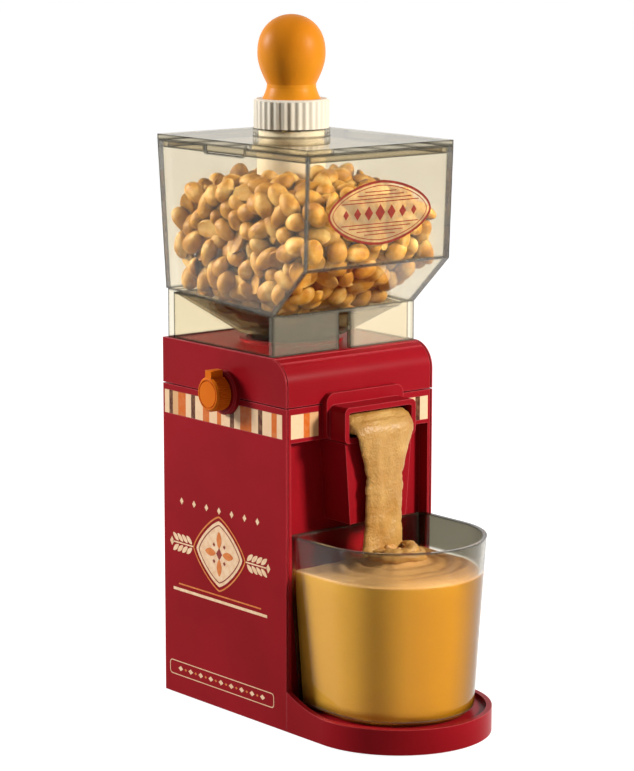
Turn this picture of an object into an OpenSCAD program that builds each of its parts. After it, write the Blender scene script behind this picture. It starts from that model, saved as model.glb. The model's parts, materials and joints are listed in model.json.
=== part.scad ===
// Nut butter grinder. A clear square hopper stands on a red housing, which holds a
// geared motor under an upright mill. The ground nuts leave by a front spout and
// fall into a clear cup that stands on a tray. A control knob is on the left side.
// The front faces -Y, the left side is -X and Z is up from the table.

/* [Housing] */
// Width across the two side panels
body_w = 100; // [94:1:110]
// Depth from the front face to the rear face
body_d = 106; // [102:1:116]
// Height of the flat top
body_h = 197.3; // [195:0.1:204]
// Height of the upper cover, from the seam under it to the flat top
cover_h = 24.7; // [23:0.1:26]
// Thickness of the side and rear panels
panel_t = 2; // [1.6:0.1:2.4]
// Thickness of the upper cover's top and front
cover_t = 2.5; // [2:0.1:3.2]
// Radius of the rounded front edge of the top
top_round = 14; // [8:1:16]
// Width of the open seams between the panels
seam_gap = 0.6; // [0.4:0.1:0.9]
// Height of the panels' lower edges above the table
foot_gap = 1.2; // [0.8:0.1:2]

/* [Stripe band] */
// Distance from the seam down to the band
band_drop = 3.5; // [2:0.1:5]
// Height of the band itself
band_h = 12.8; // [10:0.1:13]
// Depth of the pocket that the band lies in
band_t = 0.5; // [0.3:0.1:0.7]
// Distance from a band's end to the panel's edge
band_inset = 3.3; // [2.5:0.1:5]

/* [Recess behind the cup] */
// Depth of the recess in the front panel
recess_depth = 6.5; // [5:0.5:9]
// Distance from the seam down to the recess
recess_drop = 18.4; // [17.5:0.1:20]
// Thickness of the front panel
front_t = 2; // [1.6:0.1:2.4]

/* [Base and tray] */
// Reach of the tray in front of the housing
tray_reach = 80; // [76:1:90]
// Height of the tray's rim at the front
rim_z = 14.5; // [14:0.1:17]
// Rise of the rim where it meets the housing
rim_rise = 8.4; // [4:0.1:12]
// Length of the rim's rising stretch
rim_run = 34; // [20:1:45]
// Thickness of the rim
rim_t = 3; // [2:0.1:3.4]
// Height of the tray's floor
tray_floor = 12.3; // [11.5:0.1:12.6]
// Thickness of the tray's floor
tray_t = 2.5; // [2:0.1:3]
// Radius of a rubber foot
foot_r = 6; // [4:0.5:7]

/* [Spout] */
// Width of the flange
flange_w = 52.4; // [50:0.2:54]
// Height of the flange's upper edge above the seam
flange_rise = 5.8; // [4:0.1:8]
// Thickness of the flange
flange_t = 3.9; // [2.5:0.1:5]
// Width of the nozzle
nozzle_w = 48.2; // [44:0.2:49]
// Distance from the seam down to the nozzle
nozzle_drop = 0.3; // [0:0.1:1]
// Height of the nozzle
nozzle_h = 18.9; // [18.8:0.1:19.5]
// Reach of the nozzle in front of the housing
nozzle_reach = 16.2; // [14:0.1:20]
// Wall of the nozzle
nozzle_t = 2.8; // [2:0.1:3]

/* [Splash guard] */
// Width of the guard at its upper end
guard_w_top = 45.2; // [42:0.2:46]
// Width of the guard at its lower end
guard_w_low = 38.4; // [30:0.2:42]
// Height of the guard below the nozzle
guard_h = 42.9; // [30:0.1:44]
// Reach of the guard in front of the housing
guard_reach = 14.5; // [12:0.1:15]
// Wall of the guard
guard_t = 2; // [1.5:0.1:2.5]

/* [Cup] */
// Clearance between the cup's rim and each side of the recess
cup_gap = 0.4; // [0.3:0.1:1]
// Clearance between the cup's rim and the guard above it
cup_clear = 5; // [4:0.5:15]
// Inward slope of each side from the rim to the foot
cup_draft = 5.7; // [3:0.1:8]
// Wall of the cup
cup_t = 2.2; // [1.6:0.1:3]
// Thickness of the cup's floor
cup_floor = 3; // [2:0.1:4]
// How far the cup's back wall reaches into the recess
cup_back = 3; // [1:0.1:4]
// Size of the bevel round the cup's foot
cup_bevel = 3.2; // [2:0.1:4]
// Cut-back of the cup's two rear corners
cup_corner = 2.2; // [1:0.1:6]

/* [Hopper] */
// Height of the bin's rim above the housing's top
bin_rise = 105.7; // [95:0.1:115]
// How far the bin's rim stands in front of the housing
bin_front = 16; // [10:0.5:20]
// How far the bin's rim stands behind the housing
bin_back = 4.6; // [2:0.1:8]
// Distance from the bin's rim to the side panel's outer face
bin_side = 1; // [0.5:0.1:3]
// Height of the chamfer's upper edge above the housing's top
chamfer_top = 46.8; // [40:0.1:60]
// Height of the chamfer's lower edge above the housing's top
chamfer_low = 21.3; // [20:0.1:26]
// Rise of the joint line from the front to the rear
joint_rise = 5.3; // [3:0.1:8]
// Distance from the skirt's front to the housing's front
skirt_front = 13.2; // [10:0.1:16]
// Distance from the skirt's rear to the housing's rear
skirt_back = 2.6; // [2:0.1:6]
// Wall of the hopper
hopper_t = 2.4; // [1.8:0.1:3]
// Half the width of the funnel's lower end
funnel_half = 19; // [18:0.5:21]
// Bore radius of the throat
throat_r = 19.5; // [18:0.1:20]
// Wall of the throat
throat_t = 2; // [1.5:0.1:2.2]

/* [Lid] */
// Thickness of the lid's plate
lid_t = 3; // [2:0.1:4]
// Depth of the lid's locating rim
lid_rim = 4; // [3:0.1:6]
// Height of the collar round the lid's hole
collar_h = 4.3; // [3:0.1:8]
// Thickness of the collar
collar_t = 2.85; // [2:0.05:4]
// Clearance of the pusher in the lid's hole
collar_gap = 0.35; // [0.2:0.05:0.6]
// Width of the finger notch in the bin's side walls
notch_w = 34; // [25:1:40]

/* [Pusher] */
// Outer radius of the tube
tube_r = 17.4; // [15:0.1:18]
// Wall of the tube
tube_t = 2.2; // [1.5:0.1:3]
// Length of the tube below the lid
tube_drop = 37; // [30:1:60]
// Outer radius of the ribbed cap
cap_r = 20.1; // [19.5:0.1:22]
// Height of the ribbed cap
cap_h = 15.2; // [12:0.1:20]
// Number of ribs round the cap
cap_ribs = 32; // [24:1:40]
// Depth of a groove between two ribs
rib_depth = 0.55; // [0.3:0.05:0.9]
// Largest radius of the handle
bulb_r = 18; // [16:0.1:20]
// Height of the handle above the cap
bulb_h = 44.1; // [38:0.1:50]
// Radius of the handle's neck
neck_r = 12.9; // [11:0.1:14]

/* [Control knob] */
// Distance of the knob's axis from the front face
knob_y = 50; // [46:0.5:54]
// Height of the knob's axis above the seam
knob_rise = 2.2; // [1:0.1:4]
// Radius of the knob
knob_r = 9.3; // [8:0.1:11]
// Thickness of the knob
knob_t = 8.7; // [7:0.1:10]
// Radius of the knob's pointer lug from the axis
lug_r = 12.6; // [12:0.1:15]
// Width of the pointer lug
lug_w = 5; // [3:0.1:6]
// Number of ribs round the knob
knob_ribs = 48; // [36:1:60]
// Radius of the red bezel under the knob
bezel_r = 11.8; // [11:0.1:14]
// Thickness of the bezel
bezel_t = 3.5; // [2:0.1:4]
// Radius of the switch's stem
stem_r = 3; // [2.5:0.1:3.2]

/* [Mill] */
// Bore radius of the mill chamber
mill_r = 24; // [23:0.1:25]
// Wall of the mill chamber
mill_t = 2.5; // [2:0.1:3]
// Distance from the seam down to the chamber's mounting flange
mill_drop = 25.6; // [25.4:0.1:26.1]
// Radius of the moving burr
burr_r = 21.5; // [20:0.1:22]
// Thickness of each burr
burr_t = 5.6; // [5:0.1:6]
// Gap between the two burrs
burr_gap = 0.4; // [0.3:0.1:0.6]
// Number of cutting grooves on each burr
burr_grooves = 18; // [12:1:24]
// Radius of the spindle
spindle_r = 4; // [3.5:0.1:4.5]
// Radius of the auger's flight
auger_r = 16.5; // [14:0.1:17]
// Radius of the auger's core
auger_core = 6.5; // [6:0.1:7]

/* [Gears] */
// Tooth size: pitch diameter over number of teeth
gear_m = 1; // [0.9:0.02:1.04]
// Teeth on the motor's pinion
pinion_teeth = 12; // [11:1:13]
// Teeth on the spindle's gear
gear_teeth = 34; // [32:1:35]
// Face width of the spindle's gear
gear_w = 8; // [6:0.5:9]
// Thinning of each tooth for running clearance
backlash = 0.1; // [0.08:0.01:0.2]

/* [Motor] */
// Outer radius of the motor's can
motor_r = 20; // [18:0.1:20.4]
// Height of the motor's can
motor_h = 63; // [55:1:66]
// Radius of the motor's shaft
shaft_r = 2.5; // [2:0.1:3]
// Number of fan blades
fan_blades = 9; // [6:1:12]
// Gap between the motor's can and the rear panel
motor_gap = 3.4; // [2:0.1:5]

/* [Rear panel] */
// Number of vent slots
vent_count = 7; // [3:1:9]
// Length of a vent slot
vent_w = 46; // [30:1:56]
// Height of the lowest vent slot
vent_low = 62; // [50:1:70]
// Distance between two vent slots
vent_pitch = 7; // [6:0.5:8]
// Bore radius of the cord gland
gland_r = 3.3; // [2.5:0.1:4]
// Height of the cord gland above the table
gland_z = 26; // [18:1:36]

/* [Hidden] */
$fn = 96;

// Small distances shared by many pieces
cut = 1;            // how far a cutting shape runs past a face
run_gap = 0.05;     // radial clearance of a shaft in its bearing
free_gap = 0.2;     // clearance between parts that lie side by side
turn_gap = 0.3;     // clearance between a turning face and a fixed one
fillet_r = 3;       // corner radius of small mouldings
rib_t = 1.5;        // thickness of ribs and tongues
bore_l = 12;        // depth of a screw's bore

// Housing
seam_z = body_h - cover_h;
half_w = body_w / 2;
lip_t = 0.9;
skin_half = half_w - lip_t - seam_gap;
inner_half = half_w - panel_t;
core_half = inner_half - free_gap;
web_t = 1.7;                        // strip of the front beside the recess and the bands
recess_half = skin_half - web_t;
recess_back_t = 2.5;
recess_wall = recess_depth + recess_back_t;
recess_top = seam_z - recess_drop;
shelf_t = 2.2;
band_low = seam_z - band_drop - band_h;
band_side = 2.4;                    // from the spout's flange to a front band
lower_top = seam_z - seam_gap / 2;
cover_low = seam_z + seam_gap / 2;
rear_inner = body_d - panel_t;
cover_inner = body_h - cover_t;
tongue_h = 3;
ledge_t = 2;                        // web that joins a tongue to the cover's side
groove_r = 0.45;
groove_y = [6.2, 10.4];

// Row frame: the origin moves to the middle of the whole object's base
knob_back = half_w + bezel_t + turn_gap;
knob_reach = knob_back + knob_t;
row_x = (knob_reach - half_w) / 2;
row_y = (tray_reach - body_d - bin_back) / 2;

// Tray and feet
floor_t = 2.8;
tray_r = half_w;
tray_cy = tray_r - tray_reach;
foot_seat = 1.4;
foot_h = foot_gap + foot_seat;
foot_x = half_w - 12;
foot_y = 14;
floor_top = foot_gap + floor_t;
post_x = half_w - 18;
post_r = 4;
post_front = 16;
post_back = body_d - 10;
intake_pitch = 5;
intake_half = 16;
intake_r = 1.2;

// Screws
screw_r = 1.6;
screw_head = 3.4;
head_h = 2.2;
boss = 8;
boss_x = inner_half - boss / 2 - 1;
boss_low = 20;
boss_high = seam_z - 30.6;

// Cord gland
gland_hole = gland_r + 2.7;
gland_rim = 2.4;
gland_lip = 2;

// Spout and cup; the cup has half widths at the rim, above the bevel and at the foot
flange_top = seam_z + flange_rise;
nozzle_top = seam_z - nozzle_drop;
nozzle_low = nozzle_top - nozzle_h;
guard_low = nozzle_low - guard_h;
cup_top = guard_low - cup_clear;
cup_half = recess_half - cup_gap;
cup_low_half = cup_half - cup_draft;
cup_foot_half = cup_low_half - cup_bevel;
back_draft = 2;

// Mill, gears and motor, from the bottom up
center_gap = 0.1;
center_dist = gear_m * (gear_teeth + pinion_teeth) / 2 + center_gap;
motor_y = rear_inner - motor_gap - motor_r;
axis_y = motor_y - center_dist;
mill_z = seam_z - mill_drop;
box_h = 41;                         // from the gear plate to the mill's flange
plate_z = mill_z - box_h;
plate_t = 3;
plate_half = post_x + 6;
hub_wall = 3;
hub_h = 2.8;
gear_gap = 4;                       // room above and below the spindle's gear
gear_z = plate_z + plate_t + gear_gap;
deck_z = gear_z + gear_w + gear_gap;
deck_t = 2.5;
deck_half = 28;
deck_post = deck_half - 4;
case_t = 2.2;
case_gap = 1.5;                     // room round the gears' tips
motor_screw_x = 15;
flange_h = 3;
mill_floor = mill_z + 6;
burr_z = mill_floor + 2;
fixed_z = burr_z + burr_t + burr_gap;
auger_z = fixed_z + burr_t + 1;
mill_top = cover_inner - 5.8;
auger_top = mill_top - 3;
nut_h = 6;
spindle_top = auger_top + nut_h;
duct_half = 17.5;
duct_low = mill_floor + 4;
duct_h = fixed_z + burr_t - duct_low;
duct_t = 1.9;
bush_r = 6.5;
groove_deep = 1;
flight_t = 2.8;
bush_rim = 2;
can_t = 2;
can_low = plate_z - motor_h;
cap_t = 4.5;
cap_low = can_low - cap_t;
can_bore = motor_r - can_t;
spigot_h = 3;
fan_h = 9;
fan_gap = 2.5;
fan_z = cap_low - fan_gap - fan_h;
fan_r = motor_r - 3.5;
disc_t = 1.4;
blade_t = 1.2;
armature_r = 13;
armature_z = can_low + 10;
armature_h = motor_h - 26;
commutator_h = 8;
air_gap = 0.8;

// Hopper heights above the table
bin_top = body_h + bin_rise;
joint_z = body_h + chamfer_low;
skirt_half = half_w - 1.9;
skirt_y = body_d - skirt_back;
bin_low_half = skirt_half + 0.3;
bin_top_half = half_w - bin_side;
bin_rear_low = body_d - 1.5;
bin_front_low = bin_front - 2.2;
funnel_rise = 2.7;
funnel_z = body_h + funnel_rise;
throat_l = 16;
throat_low = funnel_z - throat_l;
wall_rise = 1.25;                   // rise of the funnel's inner face per millimetre of wall
chamfer_run = skirt_front + bin_front_low;
chamfer_fall = chamfer_top - chamfer_low;
chamfer_rise = hopper_t * norm([chamfer_run, chamfer_fall]) / chamfer_run;

// Lid and pusher heights above the table
lid_gap = 0.1;
lid_z = bin_top + lid_gap;
lid_top = lid_z + lid_t;
cap_z = lid_top + collar_h;
tube_low = lid_z - tube_drop;
handle_z = cap_z + cap_h;
lid_hole = tube_r + collar_gap;
notch_y = body_d / 2;
notch_h = 4;
notch_bevel = 1;
spigot_r = 8;
spigot_drop = 6;
cap_skin = 4;

// Knob and switch
knob_z = seam_z + knob_rise;
bush_out = 4.3;
switch_hole = bush_out + turn_gap;
switch_half = 9;
switch_depth = 16;
stem_in = 10;
knob_skin = 2;
rib_dip = 0.35;
tag_half = 2;
tag_l = 3.6;
tag_t = 0.8;

// A box given by two opposite corners
module box(low, high) {
  translate(low)
    cube(high - low);
}

// Extrudes a (y, z) outline over a width that is centred on x = 0
module across(width) {
  rotate([90, 0, 90])
    translate([0, 0, -width / 2])
      linear_extrude(width)
        children();
}

// Extrudes an (x, z) outline from y = near to y = far
module rearward(near, far) {
  translate([0, far, 0])
    rotate([90, 0, 0])
      linear_extrude(far - near)
        children();
}

// Turns a shape built upwards so that it points out of the left side
module out_left(x) {
  translate([-x, knob_y, knob_z])
    rotate([0, -90, 0])
      children();
}

// Moves a piece from the housing's own frame to the row frame
module place() {
  translate([row_x, row_y, 0])
    children();
}

// A rectangle with round corners, given by its half width and its two heights
module round_rect(half, low, high, r) {
  translate([-half + r, low])
    square([2 * half - 2 * r, high - low]);
  translate([-half, low + r])
    square([2 * half, high - low - 2 * r]);
  for (x = [-half + r, half - r], z = [low + r, high - r])
    translate([x, z])
      circle(r);
}

// A pan-head screw that points down from its seat
module screw(length) {
  translate([0, 0, -length])
    cylinder(h = length, r = screw_r);
  difference() {
    cylinder(h = head_h, r = screw_head);
    for (a = [0, 90])
      rotate([0, 0, a])
        translate([-screw_r * 1.25, -screw_r / 4, head_h / 2])
          cube([screw_r * 2.5, screw_r / 2, head_h]);
  }
}

// ---- Housing ----

// The right side panel, which the left one mirrors
module side_panel_shape() {
  difference() {
    union() {
      box([inner_half, front_t, foot_gap], [half_w, body_d, lower_top]);
      box([half_w - lip_t, 0, foot_gap], [half_w, front_t + cut, lower_top]);
      for (z = [boss_low, boss_high])
        box([boss_x - boss / 2 - 1, rear_inner - bore_l + 2, z - boss / 2],
            [inner_half + panel_t / 2, rear_inner, z + boss / 2]);
      for (y = [0.28, 0.57] * body_d)
        box([inner_half - rib_t, y, floor_top + 6], [inner_half + panel_t / 2, y + rib_t, band_low - 8]);
    }
    box([half_w - band_t, band_inset, band_low], [half_w + cut, body_d - band_inset + 2, band_low + band_h]);
    for (z = [boss_low, boss_high])
      translate([boss_x, rear_inner + cut, z])
        rotate([90, 0, 0])
          cylinder(h = bore_l + cut, r = screw_r);
  }
}

module left_side_panel() {
  place() color("firebrick")
    difference() {
      mirror([1, 0, 0])
        side_panel_shape();
      out_left(0)
        cylinder(h = body_w, r = switch_hole);
    }
}

module right_side_panel() {
  place() color("firebrick")
    side_panel_shape();
}

module front_band_pocket(side) {
  inner = flange_w / 2 + band_side;
  mid = side * (inner + recess_half) / 2;
  half = (recess_half - inner) / 2;
  box([mid - half, -cut, band_low], [mid + half, band_t, band_low + band_h]);
}

module front_panel() {
  duct_room = duct_t + free_gap;
  place() color("firebrick")
    difference() {
      union() {
        box([-skin_half, 0, tray_floor], [skin_half, front_t, lower_top]);
        box([-core_half, front_t / 2, tray_floor], [core_half, recess_wall, lower_top]);
      }
      box([-recess_half, -cut, tray_floor - cut], [recess_half, recess_depth, recess_top]);
      box([-core_half + front_t, front_t, recess_top + shelf_t],
          [core_half - front_t, recess_wall + cut, lower_top + cut]);
      box([-duct_half - duct_room, -cut, duct_low - duct_room],
          [duct_half + duct_room, recess_wall + cut, duct_low + duct_h + duct_room]);
      for (side = [-1, 1])
        front_band_pocket(side);
    }
}

// A slot with round ends, cut to the given depth
module vent_slot(length, depth) {
  end_r = vent_pitch * 0.215;
  translate([-length / 2, 0, -end_r])
    cube([length, depth, 2 * end_r]);
  for (x = [-length / 2, length / 2])
    translate([x, depth, 0])
      rotate([90, 0, 0])
        cylinder(h = depth, r = end_r, $fn = 32);
}

module rear_panel() {
  place() color("firebrick")
    difference() {
      box([-core_half, rear_inner, floor_top + free_gap / 2], [core_half, body_d, lower_top]);
      for (i = [0 : vent_count - 1])
        translate([0, rear_inner - cut, vent_low + vent_pitch * i])
          vent_slot(vent_w, panel_t + 2 * cut);
      translate([0, body_d + cut, gland_z])
        rotate([90, 0, 0])
          cylinder(h = panel_t + 2 * cut, r = gland_hole);
      for (x = [-boss_x, boss_x], z = [boss_low, boss_high])
        translate([x, body_d + cut, z])
          rotate([90, 0, 0])
            cylinder(h = panel_t + 2 * cut, r = screw_r);
    }
}

// A disc or bore that runs forwards from y = far
module gland_disc(far, length, radius) {
  translate([0, far, gland_z])
    rotate([90, 0, 0])
      cylinder(h = length, r = radius);
}

module cord_gland() {
  place() color("black")
    difference() {
      union() {
        gland_disc(body_d + gland_rim, gland_rim, gland_hole + gland_lip);
        gland_disc(body_d, panel_t, gland_hole);
        gland_disc(rear_inner, gland_rim, gland_hole + gland_lip - 0.5);
      }
      gland_disc(body_d + gland_rim + cut, panel_t + 2 * gland_rim + 2 * cut, gland_r);
    }
}

module panel_screws() {
  place() color("silver")
    for (x = [-boss_x, boss_x], z = [boss_low, boss_high])
      translate([x, body_d, z])
        rotate([-90, 0, 0])
          screw(bore_l - 2);
}

// Side outline of the upper cover, shrunk by inset
module cover_outline(inset, low) {
  r = top_round - inset;
  near = inset;
  far = body_d - inset;
  top = body_h - inset;
  translate([near + r, low])
    square([far - near - r, top - low]);
  translate([near, low])
    square([r, top - r - low]);
  intersection() {
    translate([near + r, top - r])
      circle(r);
    translate([near, top - r])
      square(r);
  }
}

// Shallow grooves that part the side cheeks from the top skin
module cheek_grooves() {
  for (side = [-1, 1])
    translate([side * (half_w - lip_t - seam_gap / 2), 0, 0])
      difference() {
        across(seam_gap)
          translate([-cut, cover_low - cut])
            square([body_d + 2 * cut, body_h - cover_low + 2 * cut]);
        across(seam_gap + cut)
          cover_outline(1.3, cover_low - 2 * cut);
      }
}

module upper_cover() {
  tongue_back = rear_inner - 4;
  tongue_room = free_gap + 2 * rib_t;
  throat_hole = throat_r + throat_t + 2.5;
  place() color("firebrick")
    difference() {
      union() {
        difference() {
          across(body_w)
            cover_outline(0, cover_low);
          across(2 * inner_half)
            cover_outline(cover_t, cover_low - cut);
        }
        for (side = [-1, 1])
          translate([side * (inner_half - free_gap - rib_t / 2), 0, 0])
            across(rib_t)
              translate([post_front, cover_low - tongue_h])
                square([tongue_back - post_front, tongue_h + ledge_t]);
        for (side = [-1, 1])
          translate([side * (inner_half - free_gap), 0, 0])
            across(2 * (free_gap + rib_t))
              translate([post_front, cover_low])
                square([tongue_back - post_front, ledge_t]);
        translate([0, axis_y, body_h])
          cylinder(h = rib_t, r = throat_hole + rib_t * 2.4);
      }
      translate([0, axis_y, cover_inner - cut])
        cylinder(h = cover_t + rib_t + 2 * cut, r = throat_hole);
      cheek_grooves();
      for (y = groove_y)
        translate([0, y, body_h - top_round + sqrt(top_round * top_round - pow(top_round - y, 2))])
          rotate([0, 90, 0])
            cylinder(h = 2 * skin_half, r = groove_r, center = true, $fn = 24);
      box([-inner_half + 0.1, knob_y - switch_half - 1, cover_low - tongue_h - cut],
          [-inner_half + tongue_room, knob_y + switch_half + 1, cover_low + ledge_t + cut]);
      out_left(0)
        cylinder(h = body_w, r = switch_hole);
    }
}

module stripe_bands() {
  place() color("moccasin") {
    for (side = [-1, 1])
      translate([side * (half_w - band_t / 2), 0, 0])
        difference() {
          across(band_t)
            translate([band_inset + 0.1, band_low + 0.1])
              square([body_d - 2 * band_inset + 1.8, band_h - 0.2]);
          translate([0, knob_y, knob_z])
            rotate([0, 90, 0])
              cylinder(h = 2 * cut, r = bezel_r + 0.1, center = true);
        }
    for (side = [-1, 1])
      intersection() {
        front_band_pocket(side);
        box([-half_w, 0, band_low + 0.1], [half_w, band_t, band_low + band_h - 0.1]);
      }
  }
}

// ---- Base, tray and feet ----

// Plan of the tray, shrunk by inset, back to y = rear
module tray_plan(inset, rear) {
  translate([-tray_r + inset, tray_cy])
    square([2 * (tray_r - inset), rear - tray_cy]);
  intersection() {
    translate([0, tray_cy])
      circle(tray_r - inset);
    translate([-tray_r, -tray_reach])
      square([2 * tray_r, tray_r]);
  }
}

// Side outline of what is above the rim, with its hollow sweep up to the housing
module above_rim() {
  sweep_r = (rim_run * rim_run + rim_rise * rim_rise) / (2 * rim_rise);
  translate([-rim_run, rim_z + sweep_r])
    circle(sweep_r, $fn = 360);
  translate([-tray_reach - cut, rim_z])
    square([tray_reach + cut - rim_run, sweep_r]);
}

module base_tray() {
  place() color("firebrick")
    difference() {
      union() {
        difference() {
          translate([0, 0, foot_gap])
            linear_extrude(rim_z + rim_rise - foot_gap)
              tray_plan(0, -free_gap);
          across(body_w + 2 * cut)
            above_rim();
          translate([0, 0, tray_floor])
            linear_extrude(body_h)
              tray_plan(rim_t, 0);
          translate([0, 0, foot_gap - cut])
            linear_extrude(tray_floor - tray_t - foot_gap + cut)
              tray_plan(rim_t, -rim_t);
        }
        box([-recess_half + free_gap, -rim_t, tray_floor - tray_t], [recess_half - free_gap, recess_wall, tray_floor]);
        box([-recess_half + free_gap, recess_depth, foot_gap], [recess_half - free_gap, recess_wall, tray_floor]);
        box([-core_half, -cut, foot_gap], [core_half, rear_inner - free_gap, floor_top]);
        at_base_posts(foot_gap)
          cylinder(h = plate_z - foot_gap, r = post_r);
        translate([0, foot_y - tray_reach, foot_gap])
          cylinder(h = tray_floor - foot_gap - tray_t / 2, r = foot_r + 2);
      }
      for (p = foot_places())
        translate([p[0], p[1], foot_gap - cut])
          cylinder(h = foot_h - foot_gap + cut, r = foot_r);
      for (i = [-3 : 3])
        translate([0, motor_y + intake_pitch * i, foot_gap - cut])
          box([-intake_half, -intake_r, 0], [intake_half, intake_r, floor_t + 2 * cut]);
      at_base_posts(plate_z - bore_l)
        cylinder(h = bore_l + cut, r = screw_r);
    }
}

function foot_places() = [
  [-foot_x, foot_y], [foot_x, foot_y],
  [-foot_x, body_d - foot_y], [foot_x, body_d - foot_y],
  [0, foot_y - tray_reach]
];

module feet() {
  place() color("dimgray")
    for (p = foot_places())
      translate([p[0], p[1], 0])
        cylinder(h = foot_h, r = foot_r);
}

// ---- Spout ----

module spout_hood() {
  place() color("firebrick")
    difference() {
      union() {
        rearward(-flange_t, 0)
          round_rect(flange_w / 2, nozzle_low, flange_top, fillet_r + 2);
        rearward(-nozzle_reach, -flange_t / 2)
          round_rect(nozzle_w / 2, nozzle_low, nozzle_top, fillet_r);
      }
      rearward(-nozzle_reach - cut, cut)
        round_rect(nozzle_w / 2 - nozzle_t, nozzle_low + nozzle_t, nozzle_top - nozzle_t, fillet_r / 2);
    }
}

// Tapered outline of the guard, shrunk by inset
module guard_outline(inset, low) {
  polygon([
    [-guard_w_top / 2 + inset, nozzle_low - inset],
    [guard_w_top / 2 - inset, nozzle_low - inset],
    [guard_w_low / 2 - inset, low],
    [-guard_w_low / 2 + inset, low]
  ]);
}

module splash_guard() {
  place() color("firebrick")
    difference() {
      rearward(-guard_reach, recess_depth)
        guard_outline(0, guard_low);
      rearward(-guard_reach + guard_t, recess_depth + cut)
        guard_outline(guard_t, guard_low - cut);
    }
}

// ---- Control knob and switch ----

module switch_bezel() {
  edge = 1;
  place() color("firebrick")
    out_left(half_w)
      difference() {
        union() {
          cylinder(h = bezel_t - edge, r = bezel_r);
          translate([0, 0, bezel_t - edge])
            cylinder(h = edge, r1 = bezel_r, r2 = bezel_r - edge);
        }
        translate([0, 0, -cut])
          cylinder(h = bezel_t + 2 * cut, r = bush_out + free_gap / 2);
      }
}

module rotary_switch() {
  place() color("dimgray")
    difference() {
      union() {
        box([-inner_half + free_gap / 2, knob_y - switch_half, knob_z - switch_half],
            [-inner_half + switch_depth, knob_y + switch_half, knob_z + switch_half]);
        out_left(inner_half - 1)
          cylinder(h = panel_t + bezel_t + 1, r = bush_out);
        for (z = [-2, 2] * tag_half, y = [-2.5, 2.5] * tag_half)
          box([-inner_half + switch_depth - cut, knob_y + y - tag_half, knob_z + z - tag_t / 2],
              [-inner_half + switch_depth + tag_l, knob_y + y + tag_half, knob_z + z + tag_t / 2]);
      }
      out_left(inner_half - stem_in - 2)
        cylinder(h = knob_back - inner_half + stem_in + 2, r = stem_r + run_gap);
    }
}

// A disc with a ribbed rim: the radius dips between ribs
module ribbed_disc(radius, ribs, depth, steps) {
  polygon([
    for (i = [0 : ribs * steps - 1])
      let (a = 360 * i / (ribs * steps))
      let (dip = depth * pow(cos(a * ribs / 2), 2))
      [(radius - dip) * cos(a), (radius - dip) * sin(a)]
  ]);
}

module control_knob() {
  edge = 1;
  ring = 0.6;
  place() color("chocolate")
    out_left(knob_back)
      difference() {
        union() {
          cylinder(h = edge, r = knob_r - 0.85 * rib_dip);
          translate([0, 0, edge])
            linear_extrude(knob_t - 2 * edge)
              ribbed_disc(knob_r, knob_ribs, rib_dip, 4);
          translate([0, 0, knob_t - edge])
            cylinder(h = edge, r1 = knob_r - 0.6 * rib_dip, r2 = knob_r - 1.2 * edge);
          translate([knob_r - 2 * edge, -lug_w / 2, edge / 2])
            cube([lug_r - knob_r + 2 * edge, lug_w, knob_t - edge]);
        }
        translate([0, 0, -cut])
          cylinder(h = knob_t - knob_skin + cut, r = stem_r);
        translate([0, 0, knob_t - ring])
          difference() {
            cylinder(h = cut, r = knob_r - 3 * ring);
            translate([0, 0, -cut])
              cylinder(h = 3 * cut, r = knob_r - 4 * ring);
          }
      }
}

module switch_stem() {
  place() color("gainsboro")
    out_left(inner_half - stem_in)
      cylinder(h = knob_back + knob_t - knob_skin - inner_half + stem_in, r = stem_r);
}

// ---- Mill ----

module mill_chamber() {
  place() color("lightgray")
    difference() {
      union() {
        translate([0, axis_y, mill_z])
          cylinder(h = mill_top - mill_z, r = mill_r + mill_t);
        box([-deck_half, axis_y - deck_half, mill_z], [deck_half, axis_y + deck_half, mill_z + flange_h]);
        box([-duct_half - duct_t, 0, duct_low - duct_t],
            [duct_half + duct_t, axis_y - duct_half, duct_low + duct_h + duct_t]);
      }
      translate([0, axis_y, mill_floor])
        cylinder(h = body_h, r = mill_r);
      translate([0, axis_y, mill_z - cut])
        cylinder(h = mill_floor - mill_z + 2 * cut, r = bush_r);
      box([-duct_half, -cut, duct_low], [duct_half, axis_y, duct_low + duct_h]);
      at_deck_posts(mill_z - cut)
        cylinder(h = flange_h + 2 * cut, r = screw_r);
    }
}

module spindle_bush() {
  place() color("goldenrod")
    translate([0, axis_y, mill_z - bush_rim])
      difference() {
        union() {
          cylinder(h = bush_rim, r = bush_r + bush_rim);
          cylinder(h = mill_floor - mill_z + bush_rim, r = bush_r);
        }
        translate([0, 0, -cut])
          cylinder(h = mill_floor - mill_z + bush_rim + 2 * cut, r = spindle_r + run_gap);
      }
}

// A burr ring whose cutting grooves lean away from the radius
module burr(outer, bore, groove_low) {
  groove_w = 1.8;
  difference() {
    cylinder(h = burr_t, r = outer);
    translate([0, 0, -cut])
      cylinder(h = burr_t + 2 * cut, r = bore);
    for (i = [0 : burr_grooves - 1])
      rotate([0, 0, 360 * i / burr_grooves])
        translate([outer / 7, bore * 0.6 + 4, groove_low])
          cube([groove_w, outer, groove_deep + 0.4]);
  }
}

module fixed_burr() {
  place() color("silver")
    translate([0, axis_y, fixed_z])
      burr(mill_r, auger_core + 4.5, -0.4);
}

module moving_burr() {
  place() color("silver")
    translate([0, axis_y, burr_z])
      burr(burr_r, spindle_r, burr_t - groove_deep);
}

// One helical flight round the auger's core
module flight(low, high, outer, turn) {
  translate([0, 0, low])
    linear_extrude(high - low, twist = turn, slices = 24, $fn = 12)
      translate([spindle_r + 1, -flight_t / 2])
        square([outer - spindle_r - 1, flight_t]);
}

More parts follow.
